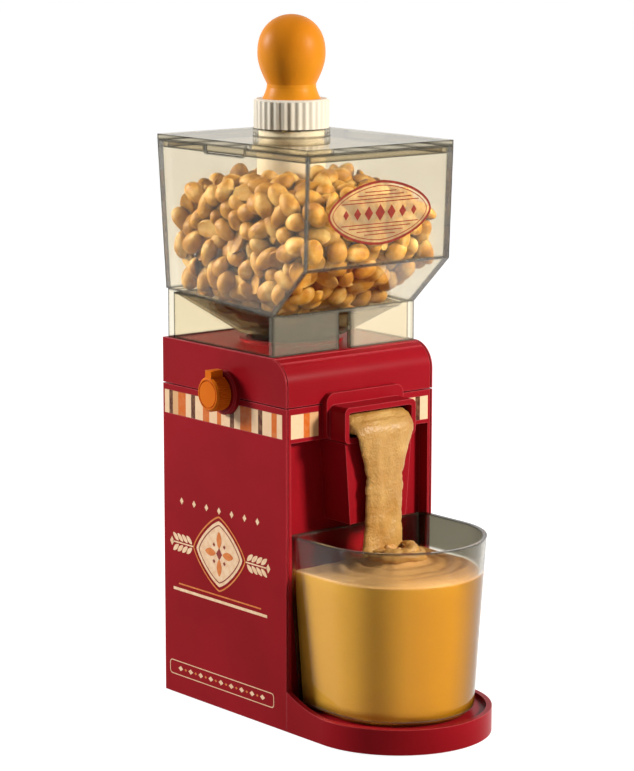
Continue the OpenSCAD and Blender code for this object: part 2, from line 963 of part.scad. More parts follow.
module auger() {
  place() color("silver")
    translate([0, axis_y, 0])
      difference() {
        union() {
          translate([0, 0, burr_z + burr_t])
            cylinder(h = auger_top - burr_z - burr_t, r = auger_core);
          flight(auger_z, auger_top - 2, auger_r, 320);
          rotate([0, 0, 120])
            flight(fixed_z, auger_z + 1, auger_core + 4, 100);
        }
        translate([0, 0, burr_z])
          cylinder(h = auger_top - burr_z + cut, r = spindle_r);
      }
}

module auger_nut() {
  place() color("gainsboro")
    translate([0, axis_y, auger_top])
      difference() {
        union() {
          cylinder(h = nut_h * 0.65, r = spindle_r * 1.6, $fn = 6);
          cylinder(h = nut_h + rib_t, r = spindle_r + 1);
        }
        translate([0, 0, -cut])
          cylinder(h = nut_h + cut, r = spindle_r);
      }
}

module spindle() {
  place() color("gainsboro")
    translate([0, axis_y, plate_z + turn_gap])
      cylinder(h = spindle_top - plate_z - turn_gap, r = spindle_r);
}

// ---- Gears ----

// Angle that an involute has turned where it reaches radius r, from its base circle
function involute(base, r) = let (t = sqrt(max(r * r / (base * base) - 1, 0))) t * 180 / PI - atan(t);

// Half the angle of a tooth at radius r
function half_tooth(teeth, r) =
  let (pitch = gear_m * teeth / 2)
  let (base = pitch * cos(20))
  let (at_pitch = (PI * gear_m / 2 - backlash) / (2 * pitch) * 180 / PI)
  at_pitch + involute(base, pitch) - involute(base, max(r, base));

// Outline of a spur gear with a tooth centred on the x axis
module gear_outline(teeth) {
  pitch = gear_m * teeth / 2;
  tip = pitch + gear_m * 0.95;
  root = pitch - gear_m * 1.2;
  steps = 4;
  flank = [for (i = [0 : steps]) root + (tip - root) * i / steps];
  polygon([
    for (k = [0 : teeth - 1], side = [-1, 1], i = [0 : steps])
      let (r = side < 0 ? flank[i] : flank[steps - i])
      let (a = 360 * k / teeth + side * half_tooth(teeth, r))
      [r * cos(a), r * sin(a)]
  ]);
}

module output_gear() {
  pitch_r = gear_m * gear_teeth / 2;
  hub_gap = 0.8;
  place() color("ivory")
    translate([0, axis_y, gear_z])
      difference() {
        union() {
          rotate([0, 0, 90])
            linear_extrude(gear_w)
              gear_outline(gear_teeth);
          translate([0, 0, -hub_gap])
            cylinder(h = gear_w + 3 * hub_gap, r = spindle_r + hub_wall);
        }
        for (i = [0 : 5])
          rotate([0, 0, 60 * i])
            translate([pitch_r * 0.62, 0, -cut])
              cylinder(h = gear_w + 2 * cut, r = pitch_r * 0.13, $fn = 32);
        translate([0, 0, -2 * cut])
          cylinder(h = gear_w + 4 * cut, r = spindle_r);
      }
}

module pinion() {
  place() color("goldenrod")
    translate([0, motor_y, gear_z - cut / 2])
      difference() {
        rotate([0, 0, 270 + 180 / pinion_teeth])
          linear_extrude(gear_w + cut)
            gear_outline(pinion_teeth);
        translate([0, 0, -cut])
          cylinder(h = gear_w + 3 * cut, r = shaft_r);
      }
}

// Bores or screws that stand on the four corners of the mill's deck
module at_deck_posts(z) {
  for (x = [-deck_post, deck_post], y = [-deck_post, deck_post])
    translate([x, axis_y + y, z])
      children();
}

// The same on the four posts of the base, and beside the motor's shaft
module at_base_posts(z) {
  for (x = [-post_x, post_x], y = [post_front, post_back])
    translate([x, y, z])
      children();
}

module at_motor_screws(z) {
  for (x = [-motor_screw_x, motor_screw_x])
    translate([x, motor_y, z])
      children();
}

module gear_plate() {
  through = plate_t + hub_h + 2 * cut;
  place() color("lightgray")
    difference() {
      union() {
        box([-plate_half, recess_wall + 1, plate_z], [plate_half, rear_inner - 2, plate_z + plate_t]);
        translate([0, axis_y, plate_z])
          cylinder(h = plate_t + hub_h, r = spindle_r + hub_wall);
      }
      translate([0, axis_y, plate_z - cut])
        cylinder(h = through, r = spindle_r + run_gap);
      translate([0, motor_y, plate_z - cut])
        cylinder(h = through, r = shaft_r + 1);
      at_base_posts(plate_z - cut)
        cylinder(h = through, r = screw_r);
      at_motor_screws(plate_z - cut)
        cylinder(h = through, r = screw_r);
    }
}

module gear_housing() {
  low = plate_z + plate_t;
  big = gear_m * (gear_teeth / 2 + 1) + case_gap;
  small = gear_m * (pinion_teeth / 2 + 1) + case_gap;
  place() color("lightgray")
    difference() {
      union() {
        translate([0, axis_y, low])
          cylinder(h = deck_z - low + 1, r = big + case_t);
        translate([0, motor_y, low])
          cylinder(h = deck_z - low + 1, r = small + case_t);
        box([-deck_half, axis_y - deck_half, deck_z], [deck_half, axis_y + deck_half, deck_z + deck_t]);
        at_deck_posts(deck_z)
          cylinder(h = mill_z - deck_z, r = post_r);
      }
      translate([0, axis_y, low - cut])
        cylinder(h = deck_z - low + cut, r = big);
      translate([0, motor_y, low - cut])
        cylinder(h = deck_z - low + cut, r = small);
      translate([0, axis_y, deck_z - cut])
        cylinder(h = deck_t + 2 * cut, r = spindle_r + 2 * turn_gap);
      at_deck_posts(mill_z - bore_l)
        cylinder(h = bore_l + cut, r = screw_r);
    }
}

module chassis_screws() {
  place() color("silver") {
    at_deck_posts(mill_z + flange_h)
      screw(bore_l);
    at_base_posts(plate_z + plate_t)
      screw(bore_l);
    at_motor_screws(plate_z + plate_t)
      screw(plate_t + can_t - free_gap);
  }
}

// ---- Motor ----

module motor_can() {
  place() color("silver")
    translate([0, motor_y, can_low])
      difference() {
        cylinder(h = motor_h, r = motor_r);
        translate([0, 0, -cut])
          cylinder(h = motor_h - can_t + cut, r = can_bore);
        translate([0, 0, -cut])
          cylinder(h = motor_h + 2 * cut, r = shaft_r + run_gap);
        for (x = [-motor_screw_x, motor_screw_x])
          translate([x, 0, motor_h - can_t - cut])
            cylinder(h = can_t + 2 * cut, r = screw_r);
      }
}

module motor_end_cap() {
  place() color("dimgray")
    translate([0, motor_y, cap_low])
      difference() {
        union() {
          cylinder(h = cap_t, r = motor_r);
          cylinder(h = cap_t + spigot_h, r = can_bore);
        }
        translate([0, 0, cap_t - 1])
          cylinder(h = spigot_h + 2 * cut, r = can_bore - can_t);
        translate([0, 0, -cut])
          cylinder(h = cap_t + 2 * cut, r = shaft_r + run_gap);
        for (i = [0 : 5])
          rotate([0, 0, 60 * i + 30])
            translate([motor_r * 0.525, 0, -cut])
              cylinder(h = cap_t + 2 * cut, r = motor_r * 0.15, $fn = 32);
      }
}

module field_magnet() {
  overlap = 2;
  place() color("dimgray")
    translate([0, motor_y, armature_z - overlap])
      difference() {
        cylinder(h = armature_h + 2 * overlap, r = can_bore);
        translate([0, 0, -cut])
          cylinder(h = motor_h, r = armature_r + air_gap);
        for (a = [0, 90])
          rotate([0, 0, a])
            box([-can_bore - cut, -overlap, -cut], [can_bore + cut, overlap, motor_h]);
      }
}

module armature() {
  slot_w = 1.8;
  place() color("peru")
    translate([0, motor_y, armature_z])
      difference() {
        union() {
          cylinder(h = armature_h, r = armature_r);
          translate([0, 0, armature_h])
            cylinder(h = commutator_h, r = armature_r * 0.46);
        }
        for (i = [0 : 9])
          rotate([0, 0, 36 * i])
            translate([armature_r * 0.73, -slot_w / 2, -cut])
              cube([armature_r, slot_w, armature_h + 2 * cut]);
        translate([0, 0, -cut])
          cylinder(h = motor_h, r = shaft_r);
      }
}

module motor_shaft() {
  place() color("gainsboro")
    translate([0, motor_y, fan_z - cut])
      cylinder(h = gear_z + gear_w + 2 * cut - fan_z, r = shaft_r);
}

module cooling_fan() {
  place() color("dimgray")
    translate([0, motor_y, fan_z])
      difference() {
        union() {
          cylinder(h = fan_h, r = shaft_r + hub_wall);
          cylinder(h = disc_t, r = fan_r);
          for (i = [0 : fan_blades - 1])
            rotate([0, 0, 360 * i / fan_blades])
              translate([shaft_r + hub_wall / 2, -blade_t / 2, 0])
                cube([fan_r - shaft_r - hub_wall / 2 - 0.5, blade_t, fan_h - 0.5]);
        }
        translate([0, 0, -cut])
          cylinder(h = fan_h + 2 * cut, r = shaft_r);
      }
}

// ---- Hopper ----

// Side outline of the bin's outer face, down to the sloping joint
module bin_side_outer() {
  polygon([
    [-bin_front, bin_top],
    [-bin_front_low, body_h + chamfer_top],
    [skirt_front, joint_z],
    [bin_rear_low, joint_z + joint_rise],
    [body_d + bin_back, bin_top]
  ]);
}

// Side outline of the bin's hollow, which is open above and below
module bin_side_inner() {
  slope = chamfer_fall / chamfer_run;
  near = -bin_front_low + hopper_t;
  low_y = skirt_front + 10;
  polygon([
    [-bin_front + hopper_t, bin_top + cut],
    [near, body_h + chamfer_top + chamfer_rise - hopper_t * slope],
    [low_y, joint_z + chamfer_rise - 10 * slope],
    [bin_rear_low - hopper_t, joint_z - 5],
    [body_d + bin_back - hopper_t, bin_top + cut]
  ]);
}

// Front outline of the bin, shrunk by inset
module bin_front_outline(inset) {
  polygon([
    [-bin_top_half + inset, bin_top + cut],
    [-bin_low_half + inset, joint_z - 10],
    [bin_low_half - inset, joint_z - 10],
    [bin_top_half - inset, bin_top + cut]
  ]);
}

module hopper_bin() {
  place() color("wheat", 0.4)
    difference() {
      intersection() {
        across(body_w)
          bin_side_outer();
        rearward(-bin_front - cut, body_d + bin_back + cut)
          bin_front_outline(0);
      }
      intersection() {
        across(body_w)
          bin_side_inner();
        rearward(-bin_front, body_d + bin_back)
          bin_front_outline(hopper_t);
      }
      across(body_w + 2 * cut)
        polygon([
          [notch_y - notch_w / 2, bin_top + cut],
          [notch_y - notch_w / 2, bin_top - notch_h + notch_bevel],
          [notch_y - notch_w / 2 + notch_bevel, bin_top - notch_h],
          [notch_y + notch_w / 2 - notch_bevel, bin_top - notch_h],
          [notch_y + notch_w / 2, bin_top - notch_h + notch_bevel],
          [notch_y + notch_w / 2, bin_top + cut]
        ]);
    }
}

// The inverted pyramid of the funnel, raised by lift
module funnel_body(lift) {
  top = joint_z + joint_rise + lift;
  low = funnel_z + lift;
  headroom = 40;
  intersection() {
    across(body_w)
      polygon([
        [skirt_front, joint_z + lift],
        [axis_y - funnel_half, low],
        [axis_y + funnel_half, low],
        [skirt_y, top],
        [skirt_y, top + headroom],
        [skirt_front, top + headroom]
      ]);
    rearward(0, body_d)
      polygon([
        [-skirt_half, top + headroom],
        [-skirt_half, top],
        [-funnel_half, low],
        [funnel_half, low],
        [skirt_half, top],
        [skirt_half, top + headroom]
      ]);
  }
}

// Everything below the sloping joint between bin and funnel
module below_joint() {
  fall = joint_rise / (bin_rear_low - skirt_front);
  across(body_w + 2 * cut)
    polygon([
      [-bin_front, joint_z - fall * (skirt_front + bin_front)],
      [-bin_front, 0],
      [body_d + 20, 0],
      [body_d + 20, joint_z + fall * (body_d + 20 - skirt_front)]
    ]);
}

module hopper_funnel() {
  slot_half = 3.7;
  place() color("wheat", 0.4)
    difference() {
      intersection() {
        union() {
          difference() {
            box([-skirt_half, skirt_front, body_h], [skirt_half, skirt_y, joint_z + 10]);
            box([-skirt_half + hopper_t, skirt_front + hopper_t, body_h - cut],
                [skirt_half - hopper_t, skirt_y - hopper_t, joint_z + 20]);
          }
          funnel_body(0);
          translate([0, axis_y, throat_low])
            cylinder(h = funnel_z - throat_low + 1, r = throat_r + throat_t);
        }
        below_joint();
      }
      funnel_body(hopper_t * wall_rise);
      translate([0, axis_y, throat_low - cut])
        cylinder(h = 2 * throat_l, r = throat_r);
      box([-slot_half, skirt_front - cut, body_h - cut],
          [slot_half, skirt_front + hopper_t + free_gap, joint_z - 2]);
    }
}

// ---- Lid ----

module hopper_lid() {
  rim_gap = 0.4;
  rim_w = 2;
  rim_half = bin_top_half - hopper_t - rim_gap;
  near = -bin_front + hopper_t + rim_gap + free_gap;
  far = body_d + bin_back - hopper_t - rim_gap - free_gap;
  place() color("wheat", 0.4)
    difference() {
      union() {
        box([-bin_top_half, -bin_front, lid_z], [bin_top_half, body_d + bin_back, lid_top]);
        difference() {
          box([-rim_half, near, lid_z - lid_rim], [rim_half, far, lid_z + 1]);
          box([-rim_half + rim_w, near + rim_w, lid_z - lid_rim - cut], [rim_half - rim_w, far - rim_w, lid_z]);
        }
        translate([0, axis_y, lid_z])
          cylinder(h = lid_t + collar_h, r = lid_hole + collar_t);
      }
      translate([0, axis_y, lid_z - cut])
        cylinder(h = lid_t + collar_h + 2 * cut, r = lid_hole);
    }
}

// ---- Pusher ----

module pusher_tube() {
  round_r = 5;
  height = handle_z - cap_skin - tube_low;
  place() color("ivory")
    translate([0, axis_y, tube_low])
      rotate_extrude()
        difference() {
          union() {
            translate([0, round_r])
              square([tube_r, height - round_r]);
            square([tube_r - round_r, height]);
            intersection() {
              translate([tube_r - round_r, round_r])
                circle(round_r);
              square([tube_r, height]);
            }
          }
          translate([-cut, tube_t + 1])
            square([tube_r - tube_t + cut, height]);
        }
}

module pusher_cap() {
  edge = 0.8;
  place() color("ivory")
    translate([0, axis_y, cap_z])
      difference() {
        union() {
          linear_extrude(cap_h - edge)
            ribbed_disc(cap_r, cap_ribs, rib_depth, 6);
          translate([0, 0, cap_h - edge])
            cylinder(h = edge, r1 = cap_r - rib_depth, r2 = cap_r - rib_depth - edge);
        }
        translate([0, 0, -cut])
          cylinder(h = cap_h - cap_skin + cut, r = tube_r);
        cylinder(h = cap_h + cut, r = spigot_r);
      }
}

// Radius of the handle at a share t of its height: a flare, a neck and an egg-shaped bulb
function egg(t) =
  let (low = 0.17)
  let (u = (t - low) / (1 - low))
  t < low ? neck_r + 2.6 * pow((low - t) / low, 1.6)
          : u < 0.44 ? neck_r + (bulb_r - neck_r) * sin(90 * u / 0.44)
                     : bulb_r * pow(1 - pow((u - 0.44) / 0.56, 2.35), 0.5);

module pusher_handle() {
  steps = 36;
  place() color("darkorange")
    translate([0, axis_y, handle_z])
      difference() {
        union() {
          rotate_extrude()
            polygon(concat(
              [[0, 0]],
              [for (i = [0 : steps]) let (t = sin(90 * i / steps)) [max(egg(t), 0), bulb_h * t]]
            ));
          translate([0, 0, -spigot_drop])
            cylinder(h = spigot_drop + cut, r = spigot_r);
        }
        translate([0, 0, -spigot_drop - cut])
          cylinder(h = spigot_drop + bore_l + 2 * cut, r = screw_r);
      }
}

module pusher_screw() {
  place() color("silver")
    translate([0, axis_y, handle_z - spigot_drop])
      mirror([0, 0, 1])
        screw(spigot_drop + bore_l - 2);
}

// ---- Cup ----

// A half-round body with sloping sides, from half width low to half width high
module cup_body(low, high, z0, z1, back_low, back_high) {
  intersection() {
    union() {
      translate([0, tray_cy, z0])
        cylinder(h = z1 - z0, r1 = low, r2 = high);
      rearward(tray_cy, cup_back + cut)
        polygon([[-low, z0], [low, z0], [high, z1], [-high, z1]]);
    }
    across(body_w)
      polygon([[-tray_reach, z0], [back_low, z0], [back_high, z1], [-tray_reach, z1]]);
  }
}

// Cuts that bevel the cup's two rear corners
module rear_corner_cuts(inset) {
  for (side = [-1, 1])
    translate([side * (cup_half - inset), cup_back - inset, 0])
      rotate([0, 0, 45])
        box([-cup_corner, -cup_corner, -cut], [cup_corner, cup_corner, body_h]);
}

module cup() {
  low_z = tray_floor;
  bevel_z = low_z + cup_bevel;
  mid_back = cup_back - back_draft;
  slope = cup_draft / (cup_top - bevel_z);
  place() color("wheat", 0.4)
    difference() {
      union() {
        cup_body(cup_foot_half, cup_low_half, low_z, bevel_z, mid_back - cup_bevel, mid_back);
        cup_body(cup_low_half, cup_half, bevel_z, cup_top, mid_back, cup_back);
      }
      rear_corner_cuts(0);
      difference() {
        cup_body(cup_low_half - cup_t - slope * cup_bevel, cup_half - cup_t + slope * cut,
                 low_z + cup_floor, cup_top + cut, mid_back - cup_t, cup_back - cup_t);
        rear_corner_cuts(cup_t);
      }
    }
}

left_side_panel();
right_side_panel();
front_panel();
rear_panel();
upper_cover();
stripe_bands();
base_tray();
feet();
panel_screws();
cord_gland();
spout_hood();
splash_guard();
switch_bezel();
rotary_switch();
control_knob();
switch_stem();
mill_chamber();
fixed_burr();
moving_burr();
auger();
auger_nut();
spindle();
spindle_bush();
gear_housing();
gear_plate();
output_gear();
pinion();
chassis_screws();
motor_can();
motor_end_cap();
field_magnet();
armature();
motor_shaft();
cooling_fan();
hopper_bin();
hopper_funnel();
hopper_lid();
pusher_tube();
pusher_cap();
pusher_handle();
pusher_screw();
cup();
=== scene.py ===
# Dresses the nut butter grinder: finishes for the CAD pieces, printed decoration, the
# nuts in the hopper, the butter in the spout and the cup, the light and the camera.
import itertools
import math
import random

import bpy
from mathutils import Matrix, Vector, noise
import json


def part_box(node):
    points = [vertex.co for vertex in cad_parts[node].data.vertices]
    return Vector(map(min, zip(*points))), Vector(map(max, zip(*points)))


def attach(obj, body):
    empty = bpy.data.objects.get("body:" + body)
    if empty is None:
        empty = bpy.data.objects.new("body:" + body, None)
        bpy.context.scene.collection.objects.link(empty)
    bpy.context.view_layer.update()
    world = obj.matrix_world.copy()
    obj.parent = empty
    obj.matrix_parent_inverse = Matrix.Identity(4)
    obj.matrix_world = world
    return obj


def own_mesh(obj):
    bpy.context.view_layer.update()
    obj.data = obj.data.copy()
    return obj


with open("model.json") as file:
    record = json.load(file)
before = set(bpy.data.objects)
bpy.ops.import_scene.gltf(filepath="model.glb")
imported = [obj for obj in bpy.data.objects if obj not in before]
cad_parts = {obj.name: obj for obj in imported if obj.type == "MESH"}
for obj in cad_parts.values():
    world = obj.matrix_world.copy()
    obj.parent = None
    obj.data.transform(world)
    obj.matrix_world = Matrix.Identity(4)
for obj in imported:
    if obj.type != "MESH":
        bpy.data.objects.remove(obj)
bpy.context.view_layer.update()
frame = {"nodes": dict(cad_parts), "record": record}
NODES = frame["nodes"]

# ---- The housing's own frame: millimetres from the middle of its front face ----

MM = 0.001                    # the frame is in metres, and the housing's own frame in millimetres
cover_low, cover_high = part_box("upper_cover")
MID_X = (cover_low[0] + cover_high[0]) / 2
FRONT_Y = cover_low[1]
HALF_W = (cover_high[0] - cover_low[0]) / 2 / MM
BODY_D = (cover_high[1] - cover_low[1]) / MM
BODY_H = cover_high[2] / MM
PUSHER_Y = (sum(corner[1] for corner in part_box("pusher_handle")) / 2 - FRONT_Y) / MM
BUTTER_LEVEL = 87.5           # height of the butter in the cup


def at(x, y, z):
    """A point of the housing's own frame, in the row frame."""
    return Vector((MID_X + x * MM, FRONT_Y + y * MM, z * MM))


def bottom_of(node):
    """Height of a CAD piece's lowest point."""
    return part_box(node)[0][2] / MM


# ---- Colours ----

def colour(code):
    """The linear colour of a six-digit screen colour."""
    channels = [int(code[i:i + 2], 16) / 255 for i in (0, 2, 4)]
    return tuple(c / 12.92 if c <= 0.04045 else ((c + 0.055) / 1.055) ** 2.4 for c in channels) + (1.0,)


def grey(value):
    return (value, value, value, 1)


RED = colour("9B141F")
RED_DEEP = colour("8A1018")
CREAM = colour("F2CDA4")
TAN = colour("DDAA78")
ORANGE = colour("D2661E")
BROWN = colour("50200E")


# ---- Materials ----

def feed(tree, value, socket):
    """Links an output to the socket, or sets the socket's own value."""
    if isinstance(value, bpy.types.NodeSocket):
        tree.links.new(value, socket)
    else:
        socket.default_value = value


def calculate(tree, operation, *values):
    """The result of a math node on numbers and outputs."""
    node = tree.nodes.new("ShaderNodeMath")
    node.operation = operation
    for socket, value in zip(node.inputs, values):
        feed(tree, value, socket)
    return node.outputs[0]


class Look:
    """A material under construction: its Principled shader and the nodes that feed it."""

    def __init__(self, name, **sockets):
        self.mat = bpy.data.materials.new(name)
        self.mat.use_nodes = True
        self.tree = self.mat.node_tree
        self.shader = self.tree.nodes["Principled BSDF"]
        self.normal = None
        for key, value in sockets.items():
            self.shader.inputs[key.replace("_", " ")].default_value = value
        self.point = self.add("TexCoord").outputs["Object"]

    def add(self, kind, values=None, **settings):
        node = self.tree.nodes.new("ShaderNode" + kind)
        for key, value in settings.items():
            setattr(node, key, value)
        for key, value in (values or {}).items():
            node.inputs[key].default_value = value
        return node

    def link(self, source, target):
        self.tree.links.new(source, target)

    def noise(self, scale, detail=3.0, stretch=None):
        """Noise with features about 1/scale metres across."""
        texture = self.add("TexNoise", {"Scale": scale, "Detail": detail})
        point = self.point
        if stretch:
            mapping = self.add("Mapping", {"Scale": stretch})
            self.link(point, mapping.inputs["Vector"])
            point = mapping.outputs["Vector"]
        self.link(point, texture.inputs["Vector"])
        return texture.outputs["Fac"]

    def cells(self, scale):
        texture = self.add("TexVoronoi", {"Scale": scale})
        self.link(self.point, texture.inputs["Vector"])
        return texture.outputs["Distance"]

    def ramp(self, factor, stops, interpolation="LINEAR"):
        node = self.add("ValToRGB")
        node.color_ramp.interpolation = interpolation
        elements = node.color_ramp.elements
        while len(elements) < len(stops):
            elements.new(1.0)
        for element, (place, shade) in zip(elements, stops):
            element.position = place
            element.color = shade
        self.link(factor, node.inputs["Fac"])
        return node.outputs["Color"]

    def mix(self, factor, first, second):
        """A colour between two others, by the Mix node's sockets for colours."""
        node = self.add("Mix", data_type="RGBA")
        for index, value in ((0, factor), (6, first), (7, second)):
            feed(self.tree, value, node.inputs[index])
        return node.outputs[2]

    def paint(self, socket):
        self.link(socket, self.shader.inputs["Base Color"])
        return self

    def drift(self, dark, light, scale):
        """Colour that drifts between two near shades."""
        return self.ramp(self.noise(scale), [(0.35, dark), (0.65, light)])

    def gloss(self, low, high, scale):
        """Roughness that varies over the surface."""
        span = self.add("MapRange", {"From Min": 0.3, "From Max": 0.7, "To Min": low, "To Max": high})
        self.link(self.noise(scale, 5.0), span.inputs["Value"])
        self.link(span.outputs["Result"], self.shader.inputs["Roughness"])
        return self

    def round_edges(self, radius):
        """Edges that catch the light as if they were rounded."""
        self.normal = self.add("Bevel", {"Radius": radius}, samples=4).outputs["Normal"]
        self.link(self.normal, self.shader.inputs["Normal"])
        return self

    def along(self, axis, start, end):
        """0 to 1 between two places on an axis of the row frame."""
        place = self.add("SeparateXYZ")
        self.link(self.point, place.inputs["Vector"])
        span = self.add("MapRange", {"From Min": start, "From Max": end})
        self.link(place.outputs[axis], span.inputs["Value"])
        return span.outputs["Result"]

    def off_middle(self, axis, middle, reach):
        """Distance from a middle plane: 0 on it, 0.5 at the given reach."""
        across = self.along(axis, middle - reach, middle + reach)
        return calculate(self.tree, "ABSOLUTE", calculate(self.tree, "SUBTRACT", across, 0.5))

    def edges(self, radius):
        """1 along sharp edges, 0 elsewhere."""
        rounded = self.add("Bevel", {"Radius": radius}, samples=4)
        flat = self.add("NewGeometry")
        turn = self.add("VectorMath", operation="DOT_PRODUCT")
        self.link(rounded.outputs["Normal"], turn.inputs[0])
        self.link(flat.outputs["Normal"], turn.inputs[1])
        span = self.add("MapRange", {"From Min": 0.99, "From Max": 0.9})
        self.link(turn.outputs["Value"], span.inputs["Value"])
        return span.outputs["Result"]

    def bump(self, height, distance, strength=1.0):
        """Relief of the given depth in metres, on top of what is there."""
        node = self.add("Bump", {"Distance": distance, "Strength": strength})
        self.link(height, node.inputs["Height"])
        if self.normal:
            self.link(self.normal, node.inputs["Normal"])
        self.normal = node.outputs["Normal"]
        self.link(self.normal, self.shader.inputs["Normal"])
        return self

    def lets_light_in(self, tint):
        """Light passes through the clear wall to what it holds."""
        path = self.add("LightPath")
        clear = self.add("BsdfTransparent", {"Color": tint})
        mixed = self.add("MixShader")
        self.link(path.outputs["Is Shadow Ray"], mixed.inputs[0])
        self.link(self.shader.outputs["BSDF"], mixed.inputs[1])
        self.link(clear.outputs["BSDF"], mixed.inputs[2])
        self.link(mixed.outputs["Shader"], self.tree.nodes["Material Output"].inputs["Surface"])
        return self


def moulded(name, dark, light, rough, shine=0.04, edge=0.4 * MM, edge_highlight=None):
    """Moulded plastic with a soft gloss, faint flow marks and, if a highlight colour is given, a painted
    highlight in that colour along its edges.
    """
    look = Look(name, Specular_IOR_Level=shine)
    body = look.drift(dark, light, 14)
    # Painted highlight: sharp edges take the paler colour, as if they caught the light.
    look.paint(look.mix(look.edges(0.7 * MM), body, edge_highlight) if edge_highlight else body)
    look.gloss(rough - 0.02, rough + 0.03, 25)
    look.round_edges(edge)
    return look.bump(look.noise(900, 2.0), 0.01 * MM)


def cast_metal(name, dark, light, rough):
    """Metal with a grainy skin, as cast or sintered."""
    look = Look(name, Metallic=1.0)
    look.paint(look.drift(dark, light, 90))
    look.gloss(rough - 0.08, rough + 0.1, 200)
    look.round_edges(0.3 * MM)
    return look.bump(look.noise(700, 4.0), 0.08 * MM)


def turned_metal(name, dark, light, rough):
    """Bright metal with fine marks that run round it."""
    look = Look(name, Metallic=1.0, Anisotropic=0.4)
    look.paint(look.drift(dark, light, 60))
    look.gloss(rough - 0.06, rough + 0.08, 300)
    look.round_edges(0.2 * MM)
    return look.bump(look.noise(260, 2.0, stretch=(1, 1, 22)), 0.02 * MM)


# Painted shade along the sharp edges of clear parts, standing in for the darkening that refraction gives
# there.
EDGE_SHADE = colour("1A170C")
EDGE_CLEARNESS = 0.2          # what the dark lines along clear edges let through
CUP_CLEAR = (0.86, 0.84, 0.76, 1)
COLLAR_CLEAR = (0.86, 0.82, 0.72, 1)
SKIRT_CLEAR = (0.85, 0.78, 0.62, 1)
# Painted reflection: the grey veil over the front left of the hopper's skirt.
SKIRT_PAINTED_VEIL = (0.42, 0.39, 0.31, 1)


def clear_plastic(name, tint, ior=1.45, light=(0.95, 0.94, 0.91, 1.0)):
    """Clear moulded plastic, slightly smoky, with fine scuffs and painted shade along its edges, where
    refraction darkens clear plastic.
    """
    look = Look(name, IOR=ior, Alpha=0.94, Specular_Tint=(0.15, 0.13, 0.09, 1))
    look.tint = look.mix(look.noise(40, 2.0), tint + (1,), tuple(0.94 * c for c in tint) + (1,))
    # look.line marks the edges that get the painted shade.
    look.line = look.edges(2 * MM)
    look.paint(look.mix(look.line, look.tint, EDGE_SHADE))
    look.link(look.ramp(look.line, [(0, grey(1)), (1, grey(EDGE_CLEARNESS))]),
              look.shader.inputs["Transmission Weight"])
    look.gloss(0.0, 0.015, 45)
    look.bump(look.noise(30, 2.0), 0.02 * MM, 0.4)
    return look.lets_light_in(light)


def cup_plastic():
    """Clear where it holds butter; above that, painted shade that greys it towards the left and darkens it
    towards the right.
    """
    rim_half = 44
    look = clear_plastic("clear_cup", (0.95, 0.92, 0.84), light=(0.72, 0.71, 0.68, 1))
    across = look.along("X", at(-rim_half, 0, 0).x, at(rim_half, 0, 0).x)
    # Painted shade across the cup above the butter: grey at the left, dark at the right.
    painted_side_shade = look.ramp(across, [(0.08, (0.5, 0.5, 0.47, 1)), (0.2, CUP_CLEAR),
                               (0.6, CUP_CLEAR), (0.9, (0.13, 0.12, 0.08, 1))])
    high = look.along("Z", (BUTTER_LEVEL - 1) * MM, (BUTTER_LEVEL + 1) * MM)
    return look.paint(look.mix(look.line, look.mix(high, look.tint, painted_side_shade), EDGE_SHADE))


def lid_plastic():
    """Smoky in its plate, clearer in the collar that stands on it."""
    plate = 3 * MM
    look = clear_plastic("smoky_lid", (0.55, 0.49, 0.36), ior=1.08)
    plate_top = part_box("hopper_bin")[1][2] + plate
    collar = look.along("Z", plate_top, plate_top + 1 * MM)
    return look.paint(look.mix(look.line, look.mix(collar, look.tint, COLLAR_CLEAR), EDGE_SHADE))


def funnel_plastic():
    """Smoky in the funnel, with a painted reflection as a grey veil in the front left of its skirt, and clear
    in the skirt's other walls.
    """
    wall = 2.6 * MM
    veil_end = 6
    look = clear_plastic("smoky_funnel", (0.36, 0.29, 0.19), ior=1.08, light=(0.72, 0.68, 0.58, 1))
    low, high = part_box("hopper_funnel")
    reach = (high[0] - low[0]) / 2
    away = look.off_middle("X", (low[0] + high[0]) / 2, reach)
    at_sides = calculate(look.tree, "GREATER_THAN", away, 0.5 - wall / (2 * reach))
    at_back = look.along("Y", high[1] - 3 * MM, high[1] - 2.5 * MM)
    inner = look.mix(calculate(look.tree, "MAXIMUM", at_sides, at_back), look.tint, SKIRT_CLEAR)
    # Painted reflection: the skirt's front wall shows a grey veil on its left part, and lets less through.
    past_veil = look.along("X", at(veil_end, 0, 0).x, at(veil_end + 1, 0, 0).x)
    front = look.mix(past_veil, SKIRT_PAINTED_VEIL, SKIRT_CLEAR)
    behind = look.along("Y", low[1] + wall, low[1] + wall + 0.8 * MM)
    clearness = look.ramp(behind, [(0, grey(0.72)), (1, grey(1))])
    look.link(look.mix(look.line, clearness, grey(EDGE_CLEARNESS)), look.shader.inputs["Transmission Weight"])
    return look.paint(look.mix(look.line, look.mix(behind, front, inner), EDGE_SHADE))


